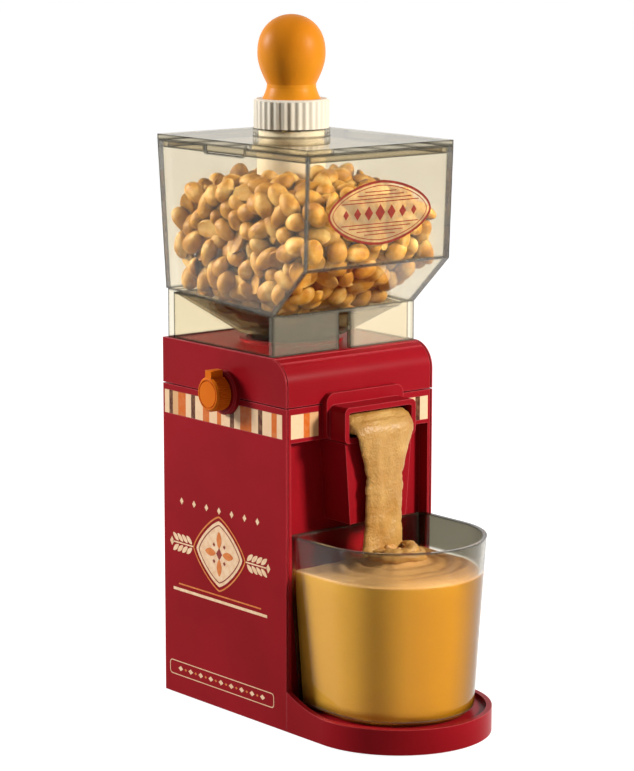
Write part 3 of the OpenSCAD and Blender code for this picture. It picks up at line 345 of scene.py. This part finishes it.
def striped():
    """The printed band: stripes that run up, counted from the front and from the left."""
    side = [("cream", 4.1), ("orange", 4.6), ("cream", 7.4), ("brown", 3.7), ("cream", 5.5), ("orange", 9.4),
            ("cream", 5.2), ("brown", 3.7), ("cream", 7.6), ("orange", 3.5), ("cream", 7.0), ("orange", 5.3),
            ("cream", 7.1), ("brown", 3.4), ("cream", 4.8), ("orange", 6.8), ("tan", 4.9), ("brown", 3.0),
            ("cream", 5.0)]
    front = [("cream", 8.1), ("orange", 4.1), ("tan", 6.1), ("red", 57.2), ("cream", 9.4), ("brown", 3.2),
             ("cream", 6.0)]
    shades = {"cream": CREAM, "orange": ORANGE, "brown": BROWN, "tan": TAN, "red": RED}
    side_start = 3.3              # from the front face to the side's first stripe
    front_half = 46.9             # from the middle to the front's first stripe
    skin = 1                      # within this of a side's outer face, the side's stripes show
    look = Look("stripe_print", Roughness=0.35, Specular_IOR_Level=0.12)

    def stripes(axis, start, widths):
        whole = sum(width for _, width in widths)
        stops = []
        done = 0.0
        for shade, width in widths:
            stops.append((done / whole, shades[shade]))
            done += width
        return look.ramp(look.along(axis, start, start + whole * MM), stops, "CONSTANT")

    away = look.off_middle("X", MID_X, HALF_W * MM)
    on_side = calculate(look.tree, "COMPARE", away, 0.5, 0.5 * skin / HALF_W)
    band_low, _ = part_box("stripe_bands")
    side_colour = stripes("Y", band_low[1] + side_start * MM, side)
    front_colour = stripes("X", MID_X - front_half * MM, front)
    printed_colour = look.mix(on_side, front_colour, side_colour)
    rubbed = look.ramp(look.noise(400, 4.0), [(0.4, grey(0)), (0.9, grey(0.35))])
    look.paint(look.mix(rubbed, printed_colour, TAN))
    return look.bump(look.noise(900, 2.0), 0.02 * MM)


def nut_skin():
    """Roasted kernels: pale gold, browner in patches, with painted shade where they lie close together."""
    look = Look("roasted_nut", Roughness=0.5, Specular_IOR_Level=0.3)
    patches = look.ramp(look.noise(110, 4.0),
                        [(0.3, colour("945F12")), (0.5, colour("BE8828")), (0.7, colour("E2C078"))])
    freckles = look.ramp(look.noise(900, 3.0), [(0.6, grey(0)), (0.75, grey(0.6))])
    skin = look.mix(freckles, patches, colour("8F5A20"))
    # Painted shade: ambient occlusion darkens the kernels where they crowd each other.
    nook = look.add("AmbientOcclusion", {"Distance": 6 * MM}, samples=8, only_local=True)
    shade = look.ramp(nook.outputs["AO"], [(0.15, grey(0.95)), (0.7, grey(0))])
    look.paint(look.mix(shade, skin, colour("3C2408")))
    return look.bump(look.noise(500, 5.0), 0.3 * MM)


def butter(name, dark, light, grain, rough=0.42, shine=0.15):
    """Ground nuts: oily, with fine grains and darker specks."""
    look = Look(name, Roughness=rough, Specular_IOR_Level=shine)
    base = look.ramp(look.noise(60, 4.0), [(0.3, dark), (0.7, light)])
    specks = look.ramp(look.cells(700), [(0.0, grey(0.5)), (0.22, grey(0))])
    look.speckled = look.mix(specks, base, colour("85540F"))
    look.paint(look.speckled)
    look.bump(look.noise(140, 3.0), grain)
    return look.bump(look.noise(900, 4.0), grain * 0.5)


def cup_filling():
    """Butter pressed against the cup, with painted light and shade: brighter on the left, darker on the
    right, and a top painted paler, lighter to the left.
    """
    half = 46
    look = butter("nut_butter", colour("A66A08"), colour("B67C10"), 0.12 * MM)
    rightward = look.along("X", at(-half, 0, 0).x, at(half, 0, 0).x)
    # Painted light and shade: the sides go from bright at the left to dark at the right.
    drift = look.ramp(rightward, [(0.05, colour("E8B448")), (0.3, colour("DCA038")), (0.5, colour("CE921C")),
                                  (0.75, colour("6A4A06")), (0.95, colour("4A3404"))])
    sides = look.mix(0.85, look.speckled, drift)
    high = look.along("Z", (BUTTER_LEVEL - 1.6) * MM, (BUTTER_LEVEL - 0.4) * MM)
    # Painted light on the top as well: paler at the left, darker at the right.
    surface = look.mix(rightward, colour("F2C080"), colour("B88444"))
    return look.paint(look.mix(high, sides, surface))


def rubber(name, dark, light):
    """Dull and finely pitted."""
    look = Look(name)
    look.paint(look.drift(dark, light, 120))
    look.gloss(0.6, 0.8, 300)
    return look.bump(look.noise(1500, 3.0), 0.04 * MM)


LOOKS = {
    # The red shell gets a painted highlight in paler red along its edges.
    "red_shell": moulded("red_shell", RED_DEEP, RED, rough=0.3, edge_highlight=colour("C24A50")),
    "stripe_print": striped(),
    "foot_rubber": rubber("foot_rubber", colour("1B1B1B"), colour("2A2A2A")),
    "black_plastic": moulded("black_plastic", colour("161616"), colour("232323"), rough=0.5),
    "orange_knob": moulded("orange_knob", colour("D86A12"), colour("E67A1C"), rough=0.35, edge=0.25 * MM),
    "amber_handle": moulded("amber_handle", colour("D98218"), colour("EA9A24"), rough=0.38, shine=0.08),
    "cream_plastic": moulded("cream_plastic", colour("E6DCC8"), colour("F2EADA"), rough=0.4, edge=0.2 * MM),
    "clear_plastic": clear_plastic("clear_plastic", (0.9, 0.845, 0.72)),
    "clear_cup": cup_plastic(),
    "cast_aluminium": cast_metal("cast_aluminium", colour("9A9C9E"), colour("B5B7B9"), 0.45),
    "steel": turned_metal("steel", colour("A0A2A6"), colour("BEC0C4"), 0.28),
    "burr_iron": cast_metal("burr_iron", colour("55585C"), colour("74777B"), 0.4),
    "bush_bronze": turned_metal("bush_bronze", colour("A87B3C"), colour("C4974F"), 0.35),
    "white_nylon": moulded("white_nylon", colour("D9D6CC"), colour("E6E3DA"), rough=0.45),
    "motor_steel": turned_metal("motor_steel", colour("8A8C8F"), colour("A4A6A9"), 0.35),
    "dark_metal": cast_metal("dark_metal", colour("2B2C2F"), colour("3C3D40"), 0.5),
}
NUT_LOOK = nut_skin()
BUTTER_LOOK = cup_filling()
STREAM_LOOK = butter("fresh_butter", colour("AC7832"), colour("CC9F58"), 0.8 * MM, rough=0.35, shine=0.35)
NODE_LOOKS = {"hopper_funnel": funnel_plastic(), "hopper_lid": lid_plastic()}


def ink(name, dark, light, cover=1.0):
    """Printed colour, slightly uneven as a pad print is."""
    look = Look(name, Roughness=0.35, Specular_IOR_Level=0.2, Alpha=cover)
    look.paint(look.drift(dark, light, 300))
    return look.bump(look.noise(1200, 3.0), 0.01 * MM)


DARK_INK = ink("label_ink", colour("7A2014"), colour("93301E"))
GROUND_INK = ink("label_ground", colour("D9B27C"), colour("E6C594"), 0.45)
PALE_INK = ink("pale_print", colour("E9BE94"), colour("F6D4AE"))
WARM_INK = ink("warm_print", colour("D2702C"), colour("E08440"))


def finish_cad_nodes():
    """Every CAD piece gets the finish of its slot in the record."""
    for part in frame["record"]["subparts"]:
        mesh = NODES[part["node"]].data
        mesh.materials.clear()
        mesh.materials.append(NODE_LOOKS.get(part["node"], LOOKS[part["material_slot"]]).mat)


# ---- Mesh helpers ----

def piece(name, mesh, look, body, smooth=True):
    """Puts a mesh into the scene as a piece that rides on a body."""
    item = bpy.data.objects.new(name, mesh)
    bpy.context.scene.collection.objects.link(item)
    mesh.materials.append(look.mat)
    for polygon in mesh.polygons:
        polygon.use_smooth = smooth
    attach(item, body)
    return item


def mesh_of(name, points, faces):
    mesh = bpy.data.meshes.new(name)
    mesh.from_pydata([tuple(p) for p in points], [], faces)
    mesh.validate()
    return mesh


def loft(rings):
    """Points and faces of a skin over rings of equally many points, with a cap at both ends."""
    count = len(rings[0])
    points = [p for ring in rings for p in ring]
    last = len(points) - count
    faces = []
    for start in range(0, last, count):
        for i in range(count):
            j = (i + 1) % count
            faces.append((start + i, start + j, start + count + j, start + count + i))
    faces.append(tuple(reversed(range(count))))
    faces.append(tuple(range(last, last + count)))
    return points, faces


# ---- Nuts in the hopper ----

bin_low, bin_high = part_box("hopper_bin")
BIN_TOP = bin_high[2] / MM
BIN_HALF = (bin_high[0] - bin_low[0]) / 2 / MM
BIN_FRONT = (bin_low[1] - FRONT_Y) / MM
BIN_BACK = (bin_high[1] - FRONT_Y) / MM
FRONT_LEAN = 2.2              # how far the bin's front wall leans inward, from the rim to the knee
SIDE_LEAN = 0.7               # the same for its side walls, with a little to spare
HOPPER_WALL = 2.4
NUT_GAP = 0.15                # between the nuts and the wall

# The hopper's outer corners as seen from the side, (y, z)
KNEE = (BIN_FRONT + FRONT_LEAN, BODY_H + 46.8)
TOE = (13.2, BODY_H + 21.3)
HEEL = (BODY_D - 1.5, BODY_H + 26.6)
THROAT_FRONT = (38.5, BODY_H + 2.7)
THROAT_BACK = (76.5, BODY_H + 2.7)

# The funnel's side walls: their inward normal, and their distance from the middle at the heel
FUNNEL_SLOPE = Vector((24, 0, 29)).normalized()
FUNNEL_HALF = 48.1

NUT_SPACING = 8.2
NUT_TRIES = 110000
NUT_REACH = 4.2               # smallest distance from a nut's middle to a wall
LINED_UP = 8                  # nuts nearer to a wall than this lie along it
SEEN_DEPTH = 17               # nuts deeper in the heap can't be seen and are left out
HALVES = 0.35                 # share of the nuts that are split


def plane(a, b, inward):
    """The half-space beside the (y, z) line from a to b, as (normal, offset) with the inside positive."""
    along = Vector((0, b[0] - a[0], b[1] - a[1]))
    normal = Vector((0, -along.z, along.y)).normalized()
    if normal.dot(Vector((0, inward[0] - a[0], inward[1] - a[1]))) < 0:
        normal = -normal
    return normal, normal.dot(Vector((0, a[0], a[1])))


def hopper_planes():
    """The inner walls of the bin and of the funnel."""
    inside = (PUSHER_Y, BIN_TOP - 30)
    walls = [
        plane((BIN_FRONT, BIN_TOP), KNEE, inside),
        plane(KNEE, TOE, inside),
        plane(HEEL, (BIN_BACK, BIN_TOP), inside),
        plane(TOE, THROAT_FRONT, inside),
        plane(THROAT_BACK, HEEL, inside),
    ]
    for side in (-1, 1):
        walls.append((Vector((-side, 0, 0)), -(BIN_HALF - SIDE_LEAN)))
        normal = Vector((-side * FUNNEL_SLOPE.x, 0, FUNNEL_SLOPE.z))
        walls.append((normal, normal.dot(Vector((side * FUNNEL_HALF, 0, HEEL[1])))))
    return [(normal, offset + HOPPER_WALL + NUT_GAP) for normal, offset in walls]


WALLS = hopper_planes()


def depth(point):
    """(distance to the nearest inner wall, that wall's normal)."""
    return min(((normal.dot(point) - offset, normal) for normal, offset in WALLS), key=lambda pair: pair[0])


def heap(x, y):
    """Height of the nuts' uneven top, which falls away from its middle and to the front right."""
    top, dome, tilt, lumps = 288, 13, 0.11, 3
    away = math.hypot(x / 55, (y - 42) / 70)
    rightward = max(0.0, x * 0.78 - (y - 45) * 0.63)
    return top - dome * away ** 2 - tilt * rightward + lumps * noise.noise(Vector((x * 0.05, y * 0.05, 2)))


def nut_shape(rng, half):
    """Points and faces of one kernel, or of a half with its flat inner side."""
    around, along = 12, 8
    length = rng.uniform(6.6, 9.0)
    width = rng.uniform(5.0, 6.0)
    taper = rng.uniform(0.0, 0.2)
    lumps = Vector((rng.uniform(0, 90), 0, 0))
    points = [Vector((-length, 0, 0))]
    for i in range(1, along):
        t = -math.cos(math.pi * i / along)
        radius = math.sqrt(1 - t * t) * (1 - taper * t)
        for k in range(around):
            a = 2 * math.pi * k / around
            y = width * radius * math.cos(a)
            z = width * 0.92 * radius * math.sin(a)
            if half and z < 0:
                groove = 0.5 * math.exp(-(y / 1.2) ** 2)
                z = 0.06 * z + groove
            swell = 1 + 0.1 * noise.noise(Vector((t, y * 0.25, z * 0.25)) + lumps)
            points.append(Vector((length * t, y * swell, z * swell)))
    points.append(Vector((length, 0, 0)))
    tip = len(points) - 1
    last = tip - around
    faces = [(0, 1 + (k + 1) % around, 1 + k) for k in range(around)]
    for start in range(1, last, around):
        for k in range(around):
            n = (k + 1) % around
            faces.append((start + k, start + n, start + around + n, start + around + k))
    faces += [(last + k, last + (k + 1) % around, tip) for k in range(around)]
    return points, faces


def push_inside(points):
    """Moves a nut so that none of its points passes a wall."""
    for _ in range(2):
        for normal, offset in WALLS:
            short = min(normal.dot(p) - offset for p in points)
            if short < 0:
                points = [p - normal * short for p in points]
    return points


def nut_places(rng):
    """(place, distance to the nearest wall, that wall's normal) of the nuts that can be seen."""
    tube_room = 17.4 + 4.5        # the plunger's tube and the nuts beside it
    tube_low = bottom_of("pusher_tube") - 5
    taken = {}
    places = []

    def is_free(p):
        cell = tuple(int(c // NUT_SPACING) for c in p)
        for step in itertools.product((-1, 0, 1), repeat=3):
            near = tuple(c + s for c, s in zip(cell, step))
            if any((other - p).length < NUT_SPACING for other in taken.get(near, ())):
                return False
        taken.setdefault(cell, []).append(p)
        return True

    for _ in range(NUT_TRIES):
        p = Vector((rng.uniform(-46, 46), rng.uniform(-14, 108), rng.uniform(202, 290)))
        distance, normal = depth(p)
        below = heap(p.x, p.y) - p.z
        if distance < NUT_REACH or below < 0 or min(distance, below) > SEEN_DEPTH:
            continue
        if p.z > tube_low and math.hypot(p.x, p.y - PUSHER_Y) < tube_room:
            continue
        if is_free(p):
            places.append((p, distance, normal))
    return places


def nut_rotation(rng, distance, normal):
    """Nuts at a wall lie along it, and the others lie anyhow."""
    turn = Matrix.Rotation(rng.uniform(0, 2 * math.pi), 3, "Z")
    if distance < LINED_UP:
        tilt = Matrix.Rotation(rng.gauss(0, 0.3), 3, "X") @ Matrix.Rotation(rng.gauss(0, 0.25), 3, "Y")
        facing = rng.choice((normal, -normal)).to_track_quat("Z", "Y").to_matrix()
        return facing @ tilt @ turn
    axis = Vector((rng.gauss(0, 1), rng.gauss(0, 1), rng.gauss(0, 1))).normalized()
    return axis.to_track_quat("Z", "Y").to_matrix() @ turn


def nuts_in_hopper():
    """A heap of loose nuts, as one mesh."""
    rng = random.Random(11)
    points, faces = [], []
    for p, distance, normal in nut_places(rng):
        shape, shape_faces = nut_shape(rng, rng.random() < HALVES)
        rotation = nut_rotation(rng, distance, normal)
        start = len(points)
        points += push_inside([p + rotation @ q for q in shape])
        faces += [tuple(start + i for i in face) for face in shape_faces]
    mesh = mesh_of("nuts", [at(*p) for p in points], faces)
    nuts = piece("nuts", mesh, NUT_LOOK, "hopper")
    smooth = nuts.modifiers.new("Smooth", "SUBSURF")
    smooth.levels = 1
    smooth.render_levels = 1


# ---- Butter in the cup, the stream and the spout ----

cup_low, cup_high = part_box("cup")
CUP_HALF = (cup_high[0] - cup_low[0]) / 2 / MM
CUP_TOP = cup_high[2] / MM
CUP_WALL = 2.2
CUP_FLOOR = cup_low[2] / MM + 3
CUP_CENTRE_Y = -30            # centre of the cup's half-round front
CUP_CORNER = CUP_HALF + 3 - (2 + math.sqrt(2)) * CUP_WALL   # |x| + y on the inside of its rear corners
SILL_Z = 156.3                # just above the spout's floor
LIP_Y = -16.2                 # where the spout's floor ends
STREAM_Y = -18.2              # where the stream lands
PILE = (3.5, -23)             # middle of the pile beside it


def cup_outline(z, inset):
    """(x, y) round the cup's inside at height z, this far in from its wall."""
    foot_half, half_growth = 38.3, 5.96
    foot_back, back_growth = -1.2, 2
    rise = (z - CUP_FLOOR) / (CUP_TOP + 1 - CUP_FLOOR)
    half = foot_half + half_growth * rise - inset
    back = foot_back + back_growth * rise - inset
    bevel = max(half + back - CUP_CORNER + 1.4 * inset, 0.05)
    arc = [math.pi * (1 + i / 64) for i in range(65)]
    ring = [(half * math.cos(a), CUP_CENTRE_Y + half * math.sin(a)) for a in arc]
    side = [CUP_CENTRE_Y + (back - bevel - CUP_CENTRE_Y) * i / 10 for i in range(1, 11)]
    ring += [(half, y) for y in side]
    ring += [((half - bevel) * (1 - i / 10), back) for i in range(21)]
    ring += [(-half, y) for y in reversed(side)]
    return ring


def butter_height(x, y):
    """The butter's surface: a folded pile beside the stream, and swirled waves."""
    dx, dy = x - PILE[0], y - PILE[1]
    away = math.hypot(dx / 1.2, dy)
    turn = math.atan2(dy, dx)
    pile = 8.5 * math.exp(-(away / 14) ** 2)
    folds = 1.5 * math.exp(-away / 20) * math.cos(away * 0.85 - turn)
    lumps = 2.6 * math.exp(-(away / 17) ** 2) * abs(noise.noise(Vector((x * 0.2, y * 0.2, 8))))
    waves = 1.0 * noise.noise(Vector((x * 0.045, y * 0.045, 5)))
    ripples = 0.5 * noise.noise(Vector((x * 0.18, y * 0.18, 1)))
    return BUTTER_LEVEL + pile + folds + lumps + waves + ripples


def butter_in_cup():
    """The filling: its sides follow the cup's wall, and the rings of its top close in on the pile."""
    pressed = -0.12               # into the wall, so that no gap shows
    levels = 14
    rings = []
    for i in range(levels + 1):
        z = CUP_FLOOR - 0.05 + (BUTTER_LEVEL - 1.2 - CUP_FLOOR) * i / levels
        rings.append([at(x, y, z) for x, y in cup_outline(z, pressed)])
    brim = cup_outline(BUTTER_LEVEL, pressed)
    flat = BUTTER_LEVEL - 0.6
    for shrink in [1.0, 0.992] + [1 - 0.0198 * i for i in range(1, 50)]:
        rise = min(1.0, (1 - shrink) * 12 + 0.3)
        ring = []
        for x, y in brim:
            px, py = PILE[0] + (x - PILE[0]) * shrink, PILE[1] + (y - PILE[1]) * shrink
            ring.append(at(px, py, flat + (butter_height(px, py) - flat) * rise))
        rings.append(ring)
    piece("cup_butter", mesh_of("cup_butter", *loft(rings)), BUTTER_LOOK, "cup")


def butter_folds():
    """The last turns of the stream, which lie coiled on the pile."""
    turns, steps, around = 1.8, 110, 20
    first_turn, last_turn = 12.5, 6.0
    thick = 3.4
    rings = []
    for i in range(steps + 1):
        t = i / steps
        a = math.radians(115) + 2 * math.pi * turns * t
        reach = first_turn - (first_turn - last_turn) * t
        x, y = PILE[0] + 1 + 1.25 * reach * math.cos(a), PILE[1] - 1.5 + reach * math.sin(a)
        z = butter_height(x, y) + 0.6 + 1.8 * t
        size = thick * math.sin(math.pi * min(1.0, 0.12 + t * 3) / 2) * min(1.0, (1 - t) * 8 + 0.1)
        out = Vector((math.cos(a), math.sin(a), 0))
        ring = []
        for k in range(around):
            b = 2 * math.pi * k / around
            swell = 1 + 0.3 * noise.noise(Vector((x * 0.3 + math.cos(b), y * 0.3, z * 0.3 + math.sin(b))))
            bulge = out * (1.15 * math.cos(b)) + Vector((0, 0, 0.8 * math.sin(b)))
            ring.append(at(*(Vector((x, y, z)) + bulge * size * swell)))
        rings.append(ring)
    piece("butter_folds", mesh_of("butter_folds", *loft(rings)), STREAM_LOOK, "cup")


def stream_path():
    """(y, z, half width, half thickness, direction angle) along the stream, from the mouth to the pile."""
    path = [
        (-6, SILL_Z + 6.6, 21.0, 6.4, 0),
        (-11, SILL_Z + 6.4, 21.0, 6.2, 0),
        (-14.5, SILL_Z + 5.8, 20.9, 5.5, 12),
    ]
    bend_r = 4.6
    for i in range(1, 7):
        a = math.radians(15 * i)
        y = LIP_Y + 0.6 - bend_r * math.sin(a)
        z = SILL_Z + 0.2 + bend_r * math.cos(a)
        path.append((y, z, 20.9 - 0.42 * i, 4.6 - 0.32 * i, 15 * i))
    start_y, start_z = LIP_Y - 3.6, SILL_Z - 1.5
    end_z = BUTTER_LEVEL + 5
    for i in range(1, 17):
        t = i / 16
        y = start_y + (STREAM_Y - start_y) * t
        z = start_z + (end_z - start_z) * t
        width = 12.2 + 5.9 * max(0, 1 - t * 3) ** 1.4 + 1.4 * max(0, t - 0.75) * 4
        thick = 3.0 + 0.8 * max(0, t - 0.8) * 5
        path.append((y, z, width, thick, 90))
    return path


def between(a, b, t):
    """The values a share t of the way from a to b."""
    return tuple(p + (q - p) * t for p, q in zip(a, b))


def stream():
    """The butter that pours out of the spout, lumpy and with ragged edges."""
    stations = stream_path()
    fine = [between(a, b, i / 5) for a, b in zip(stations, stations[1:]) for i in range(5)] + [stations[-1]]
    steps = 72
    rings = []
    for y, z, width, thick, angle in fine:
        facing = Vector((0, -math.sin(math.radians(angle)), math.cos(math.radians(angle))))
        ragged = 0.8 * noise.noise(Vector((z * 0.16, 0, 1))) + 0.6 * noise.noise(Vector((z * 0.5, 4, 1)))
        fall = min(1, angle / 75)
        ring = []
        for k in range(steps):
            a = 2 * math.pi * k / steps
            c, q = math.cos(a), math.sin(a)
            x = (width + ragged * fall) * math.copysign(abs(c) ** (0.45 + 0.3 * fall), c)
            coarse = noise.noise(Vector((x * 0.22, z * 0.1 + y * 0.1, 3 + q)))
            grain = noise.noise(Vector((x * 0.9, z * 0.9, y + q)))
            face = math.copysign(abs(q) ** (0.6 + 0.4 * fall), q)
            bulge = thick * face * (1 + (0.05 + 0.22 * fall) * coarse) + 0.28 * grain * q
            ring.append(at(x, y + facing.y * bulge, z + facing.z * bulge))
        rings.append(ring)
    mesh = mesh_of("butter_stream", *loft(rings))
    item = piece("butter_stream", mesh, STREAM_LOOK, "housing")
    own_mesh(item)


# ---- Printed decoration: a plain design of diamonds, leaves and rules ----

def stroke(points, width, closed=True):
    """Quads along a line of (u, v) points."""
    count = len(points)
    sides = []
    for i, (u, v) in enumerate(points):
        before = points[i - 1] if closed or i else points[i]
        after = points[(i + 1) % count] if closed or i < count - 1 else points[i]
        along = Vector((after[0] - before[0], after[1] - before[1])).normalized() * width / 2
        sides.append(((u - along.y, v + along.x), (u + along.y, v - along.x)))
    pairs = zip(sides, sides[1:] + sides[:1] if closed else sides[1:])
    return [[a[0], a[1], b[1], b[0]] for a, b in pairs]


def lozenge(u, v, half_u, half_v, power=1.0, turn=0.0):
    """A diamond, which swells to an ellipse as power goes from 1 to 2."""
    ring = []
    ct, st = math.cos(math.radians(turn)), math.sin(math.radians(turn))
    for i in range(64):
        a = 2 * math.pi * i / 64
        c, q = math.cos(a), math.sin(a)
        x = half_u * math.copysign(abs(c) ** (2 / power), c)
        y = half_v * math.copysign(abs(q) ** (2 / power), q)
        ring.append((u + x * ct - y * st, v + x * st + y * ct))
    return ring


def rule(u0, v0, u1, v1, width):
    """A straight line between two places."""
    return stroke([(u0, v0), (u1, v1)], width, closed=False)


def on_side(side, lift):
    """Where (u, v) lies on a side panel: u back from its front, v up from the table."""
    return lambda u, v: at(side * (HALF_W + lift), u, v)


def on_hopper(lift):
    """Where (u, v) lies on the bin's leaning front: u right of its middle, v up from the table."""
    lean = FRONT_LEAN / (BIN_TOP - KNEE[1])
    return lambda u, v: at(u, BIN_FRONT + lean * (BIN_TOP - v) - lift, v)


def printed(name, shapes, spot, look, body):
    """A flat print of (u, v) outlines, which spot puts in place."""
    points, faces = [], []
    for shape in shapes:
        faces.append(tuple(range(len(points), len(points) + len(shape))))
        points += [spot(u, v) for u, v in shape]
    piece(name, mesh_of(name, points, faces), look, body, smooth=False)


UNDER, OVER = 0.06, 0.12      # how far the first and the second print stand off a surface
SIDES = (("left", -1), ("right", 1))


def hopper_label():
    """A rounded lozenge with rules above and below a row of diamonds."""
    u, v = 0, 271.5
    swell = 1.72
    lines = stroke(lozenge(u, v, 34, 16, swell), 1.3) + stroke(lozenge(u, v, 31.6, 14, swell), 0.45)
    for i in range(4):
        reach = 26 - 5.2 * i
        for side in (-1, 1):
            height = v + side * (5.6 + 1.8 * i)
            lines += rule(u - reach, height, u + reach, height, 0.5)
    for i in range(-3, 4):
        size = 1 - 0.14 * abs(i)
        lines += [lozenge(u + 7.6 * i, v, 3.3 * size, 4.4 * size)]
    ground = [lozenge(u, v, 33.4, 15.4, swell)]
    printed("hopper_label_ground", ground, on_hopper(UNDER), GROUND_INK, "hopper")
    printed("hopper_label_print", lines, on_hopper(OVER), DARK_INK, "hopper")


def side_print():
    """A diamond medallion between two leafy sprigs, over a pair of rules, on each side panel."""
    u, v = 57, 86
    swell = 1.3
    pale = [lozenge(u, v, 20, 18, swell)]
    dark = stroke(lozenge(u, v, 17.6, 15.7, swell), 0.6) + [lozenge(u, v, 2.6, 3.4)]
    warm = stroke(lozenge(u, v, 22.4, 20.2, swell), 0.9)
    for turn in (0, 90, 180, 270):
        a, b = math.radians(turn), math.radians(turn + 45)
        warm += [lozenge(u + 7.6 * math.cos(a), v + 7.6 * math.sin(a), 4.6, 2.2, 1.5, turn)]
        dark += [lozenge(u + 6.4 * math.cos(b), v + 6.4 * math.sin(b), 1.2, 1.2)]
    for side in (-1, 1):
        pale += rule(u + side * 23, v, u + side * 41, v, 0.8)
        for i in range(4):
            for tilt in (-1, 1):
                stem = u + side * (26.5 + 4 * i)
                pale += [lozenge(stem, v + tilt * 3.0, 3.1, 1.35, 1.6, side * tilt * 38)]
        pale += [lozenge(u + side * 42, v, 1.8, 2.6)]
    pale += rule(u - 41, 60, u + 41, 60, 1.6)
    warm += rule(u - 36, 63.2, u + 36, 63.2, 0.8)
    pale += [lozenge(u + 11 * i, 109.5, 1.6, 2.0) for i in range(-3, 4)]
    for name, side in SIDES:
        printed(name + "_print_pale", pale, on_side(side, UNDER), PALE_INK, "housing")
        printed(name + "_print_warm", warm, on_side(side, OVER), WARM_INK, "housing")
        printed(name + "_print_dark", dark, on_side(side, OVER), DARK_INK, "housing")


def base_bar():
    """A long framed bar with a row of small diamonds, on the foot of each side panel."""
    left, right, low, high = 12.5, 99.5, 13.6, 17.2
    corner_r = 2
    lift = 0.08
    border = []
    for cu, cv, start in ((right, high, 0), (left, high, 90), (left, low, 180), (right, low, 270)):
        for i in range(7):
            a = math.radians(start + 15 * i)
            border.append((cu + corner_r * math.cos(a), cv + corner_r * math.sin(a)))
    middle = (low + high) / 2
    pale = stroke(border, 0.5) + [lozenge(20 + 9 * i, middle, 2.1, 1.5) for i in range(9)]
    warm = [lozenge(24.5 + 9 * i, middle, 1.1, 0.8) for i in range(8)]
    for name, side in SIDES:
        printed(name + "_bar_pale", pale, on_side(side, lift), PALE_INK, "housing")
        printed(name + "_bar_warm", warm, on_side(side, lift), WARM_INK, "housing")


# ---- Floor, light and camera ----

def background_ray(tree):
    """1 for a ray that shows the background, seen straight, in a reflection or through glass, else 0."""
    path = tree.nodes.new("ShaderNodeLightPath").outputs
    shown = calculate(tree, "MAXIMUM", path["Is Camera Ray"], path["Is Glossy Ray"])
    shown = calculate(tree, "MAXIMUM", shown, path["Is Transmission Ray"])
    lights_nothing = calculate(tree, "LESS_THAN", path["Diffuse Depth"], 0.5)
    return calculate(tree, "MULTIPLY", shown, lights_nothing)


def studio_world():
    """A dim fill of light, under a background that shows white."""
    world = bpy.data.worlds.new("studio")
    bpy.context.scene.world = world
    world.use_nodes = True
    tree = world.node_tree
    light = tree.nodes["Background"]
    light.inputs["Color"].default_value = (1.0, 0.985, 0.96, 1)
    light.inputs["Strength"].default_value = 0.12
    white = tree.nodes.new("ShaderNodeBackground")
    white.inputs["Color"].default_value = (1, 1, 1, 1)
    mixed = tree.nodes.new("ShaderNodeMixShader")
    tree.links.new(background_ray(tree), mixed.inputs[0])
    tree.links.new(light.outputs[0], mixed.inputs[1])
    tree.links.new(white.outputs[0], mixed.inputs[2])
    tree.links.new(mixed.outputs[0], tree.nodes["World Output"].inputs["Surface"])


def floor():
    """A wide pale floor, which shows white where no shadow falls on it."""
    half = 12.0
    albedo, glow = 0.36, 0.96
    corners = [(-half, -half, 0), (half, -half, 0), (half, half, 0), (-half, half, 0)]
    mesh = mesh_of("floor", corners, [(0, 1, 2, 3)])
    item = bpy.data.objects.new("floor", mesh)
    bpy.context.scene.collection.objects.link(item)
    look = Look("floor", Roughness=0.9, Base_Color=grey(albedo), Specular_IOR_Level=0.0,
                Emission_Color=grey(1))
    strength = calculate(look.tree, "MULTIPLY", background_ray(look.tree), glow)
    look.link(strength, look.shader.inputs["Emission Strength"])
    mesh.materials.append(look.mat)


def lamp(name, place, aim, size, power, tint=(1, 1, 1)):
    data = bpy.data.lights.new(name, "AREA")
    data.shape = "RECTANGLE"
    data.size, data.size_y = size
    data.energy = power
    data.color = tint
    item = bpy.data.objects.new(name, data)
    bpy.context.scene.collection.objects.link(item)
    item.location = place
    item.rotation_euler = (aim - place).to_track_quat("-Z", "Y").to_euler()


def studio_lamps():
    """A key lamp at the front right, one behind on the left and a wide, weak one low in front."""
    middle = at(0, 50, 170)
    lamp("key", middle + Vector((0.75, -1.4, 0.68)), middle, (0.28, 0.28), 36, (1, 0.97, 0.92))
    lamp("side", middle + Vector((-1.15, 1.35, 0.75)), middle, (0.5, 0.5), 42)
    lamp("low", middle + Vector((0.63, -0.78, 0.24)), middle, (0.9, 0.78), 0.6)


def camera():
    """The photo's view, from the front left and a little above."""
    azimuth = math.radians(-39.05)
    elevation = math.radians(10.82)
    distance = 1.5403
    centre = at(0, 50, 150)
    back = Vector((math.sin(azimuth) * math.cos(elevation), -math.cos(azimuth) * math.cos(elevation),
                   math.sin(elevation)))
    data = bpy.data.cameras.new("camera")
    data.lens = 133.85
    data.shift_x = 0.0215
    data.shift_y = 0.0539
    item = bpy.data.objects.new("camera", data)
    bpy.context.scene.collection.objects.link(item)
    item.location = centre + distance * back
    item.rotation_euler = back.to_track_quat("Z", "Y").to_euler()
    bpy.context.scene.camera = item


finish_cad_nodes()
nuts_in_hopper()
butter_in_cup()
butter_folds()
stream()
hopper_label()
side_print()
base_bar()
floor()
studio_world()
studio_lamps()
camera()
bpy.context.scene.view_settings.view_transform = "Standard"
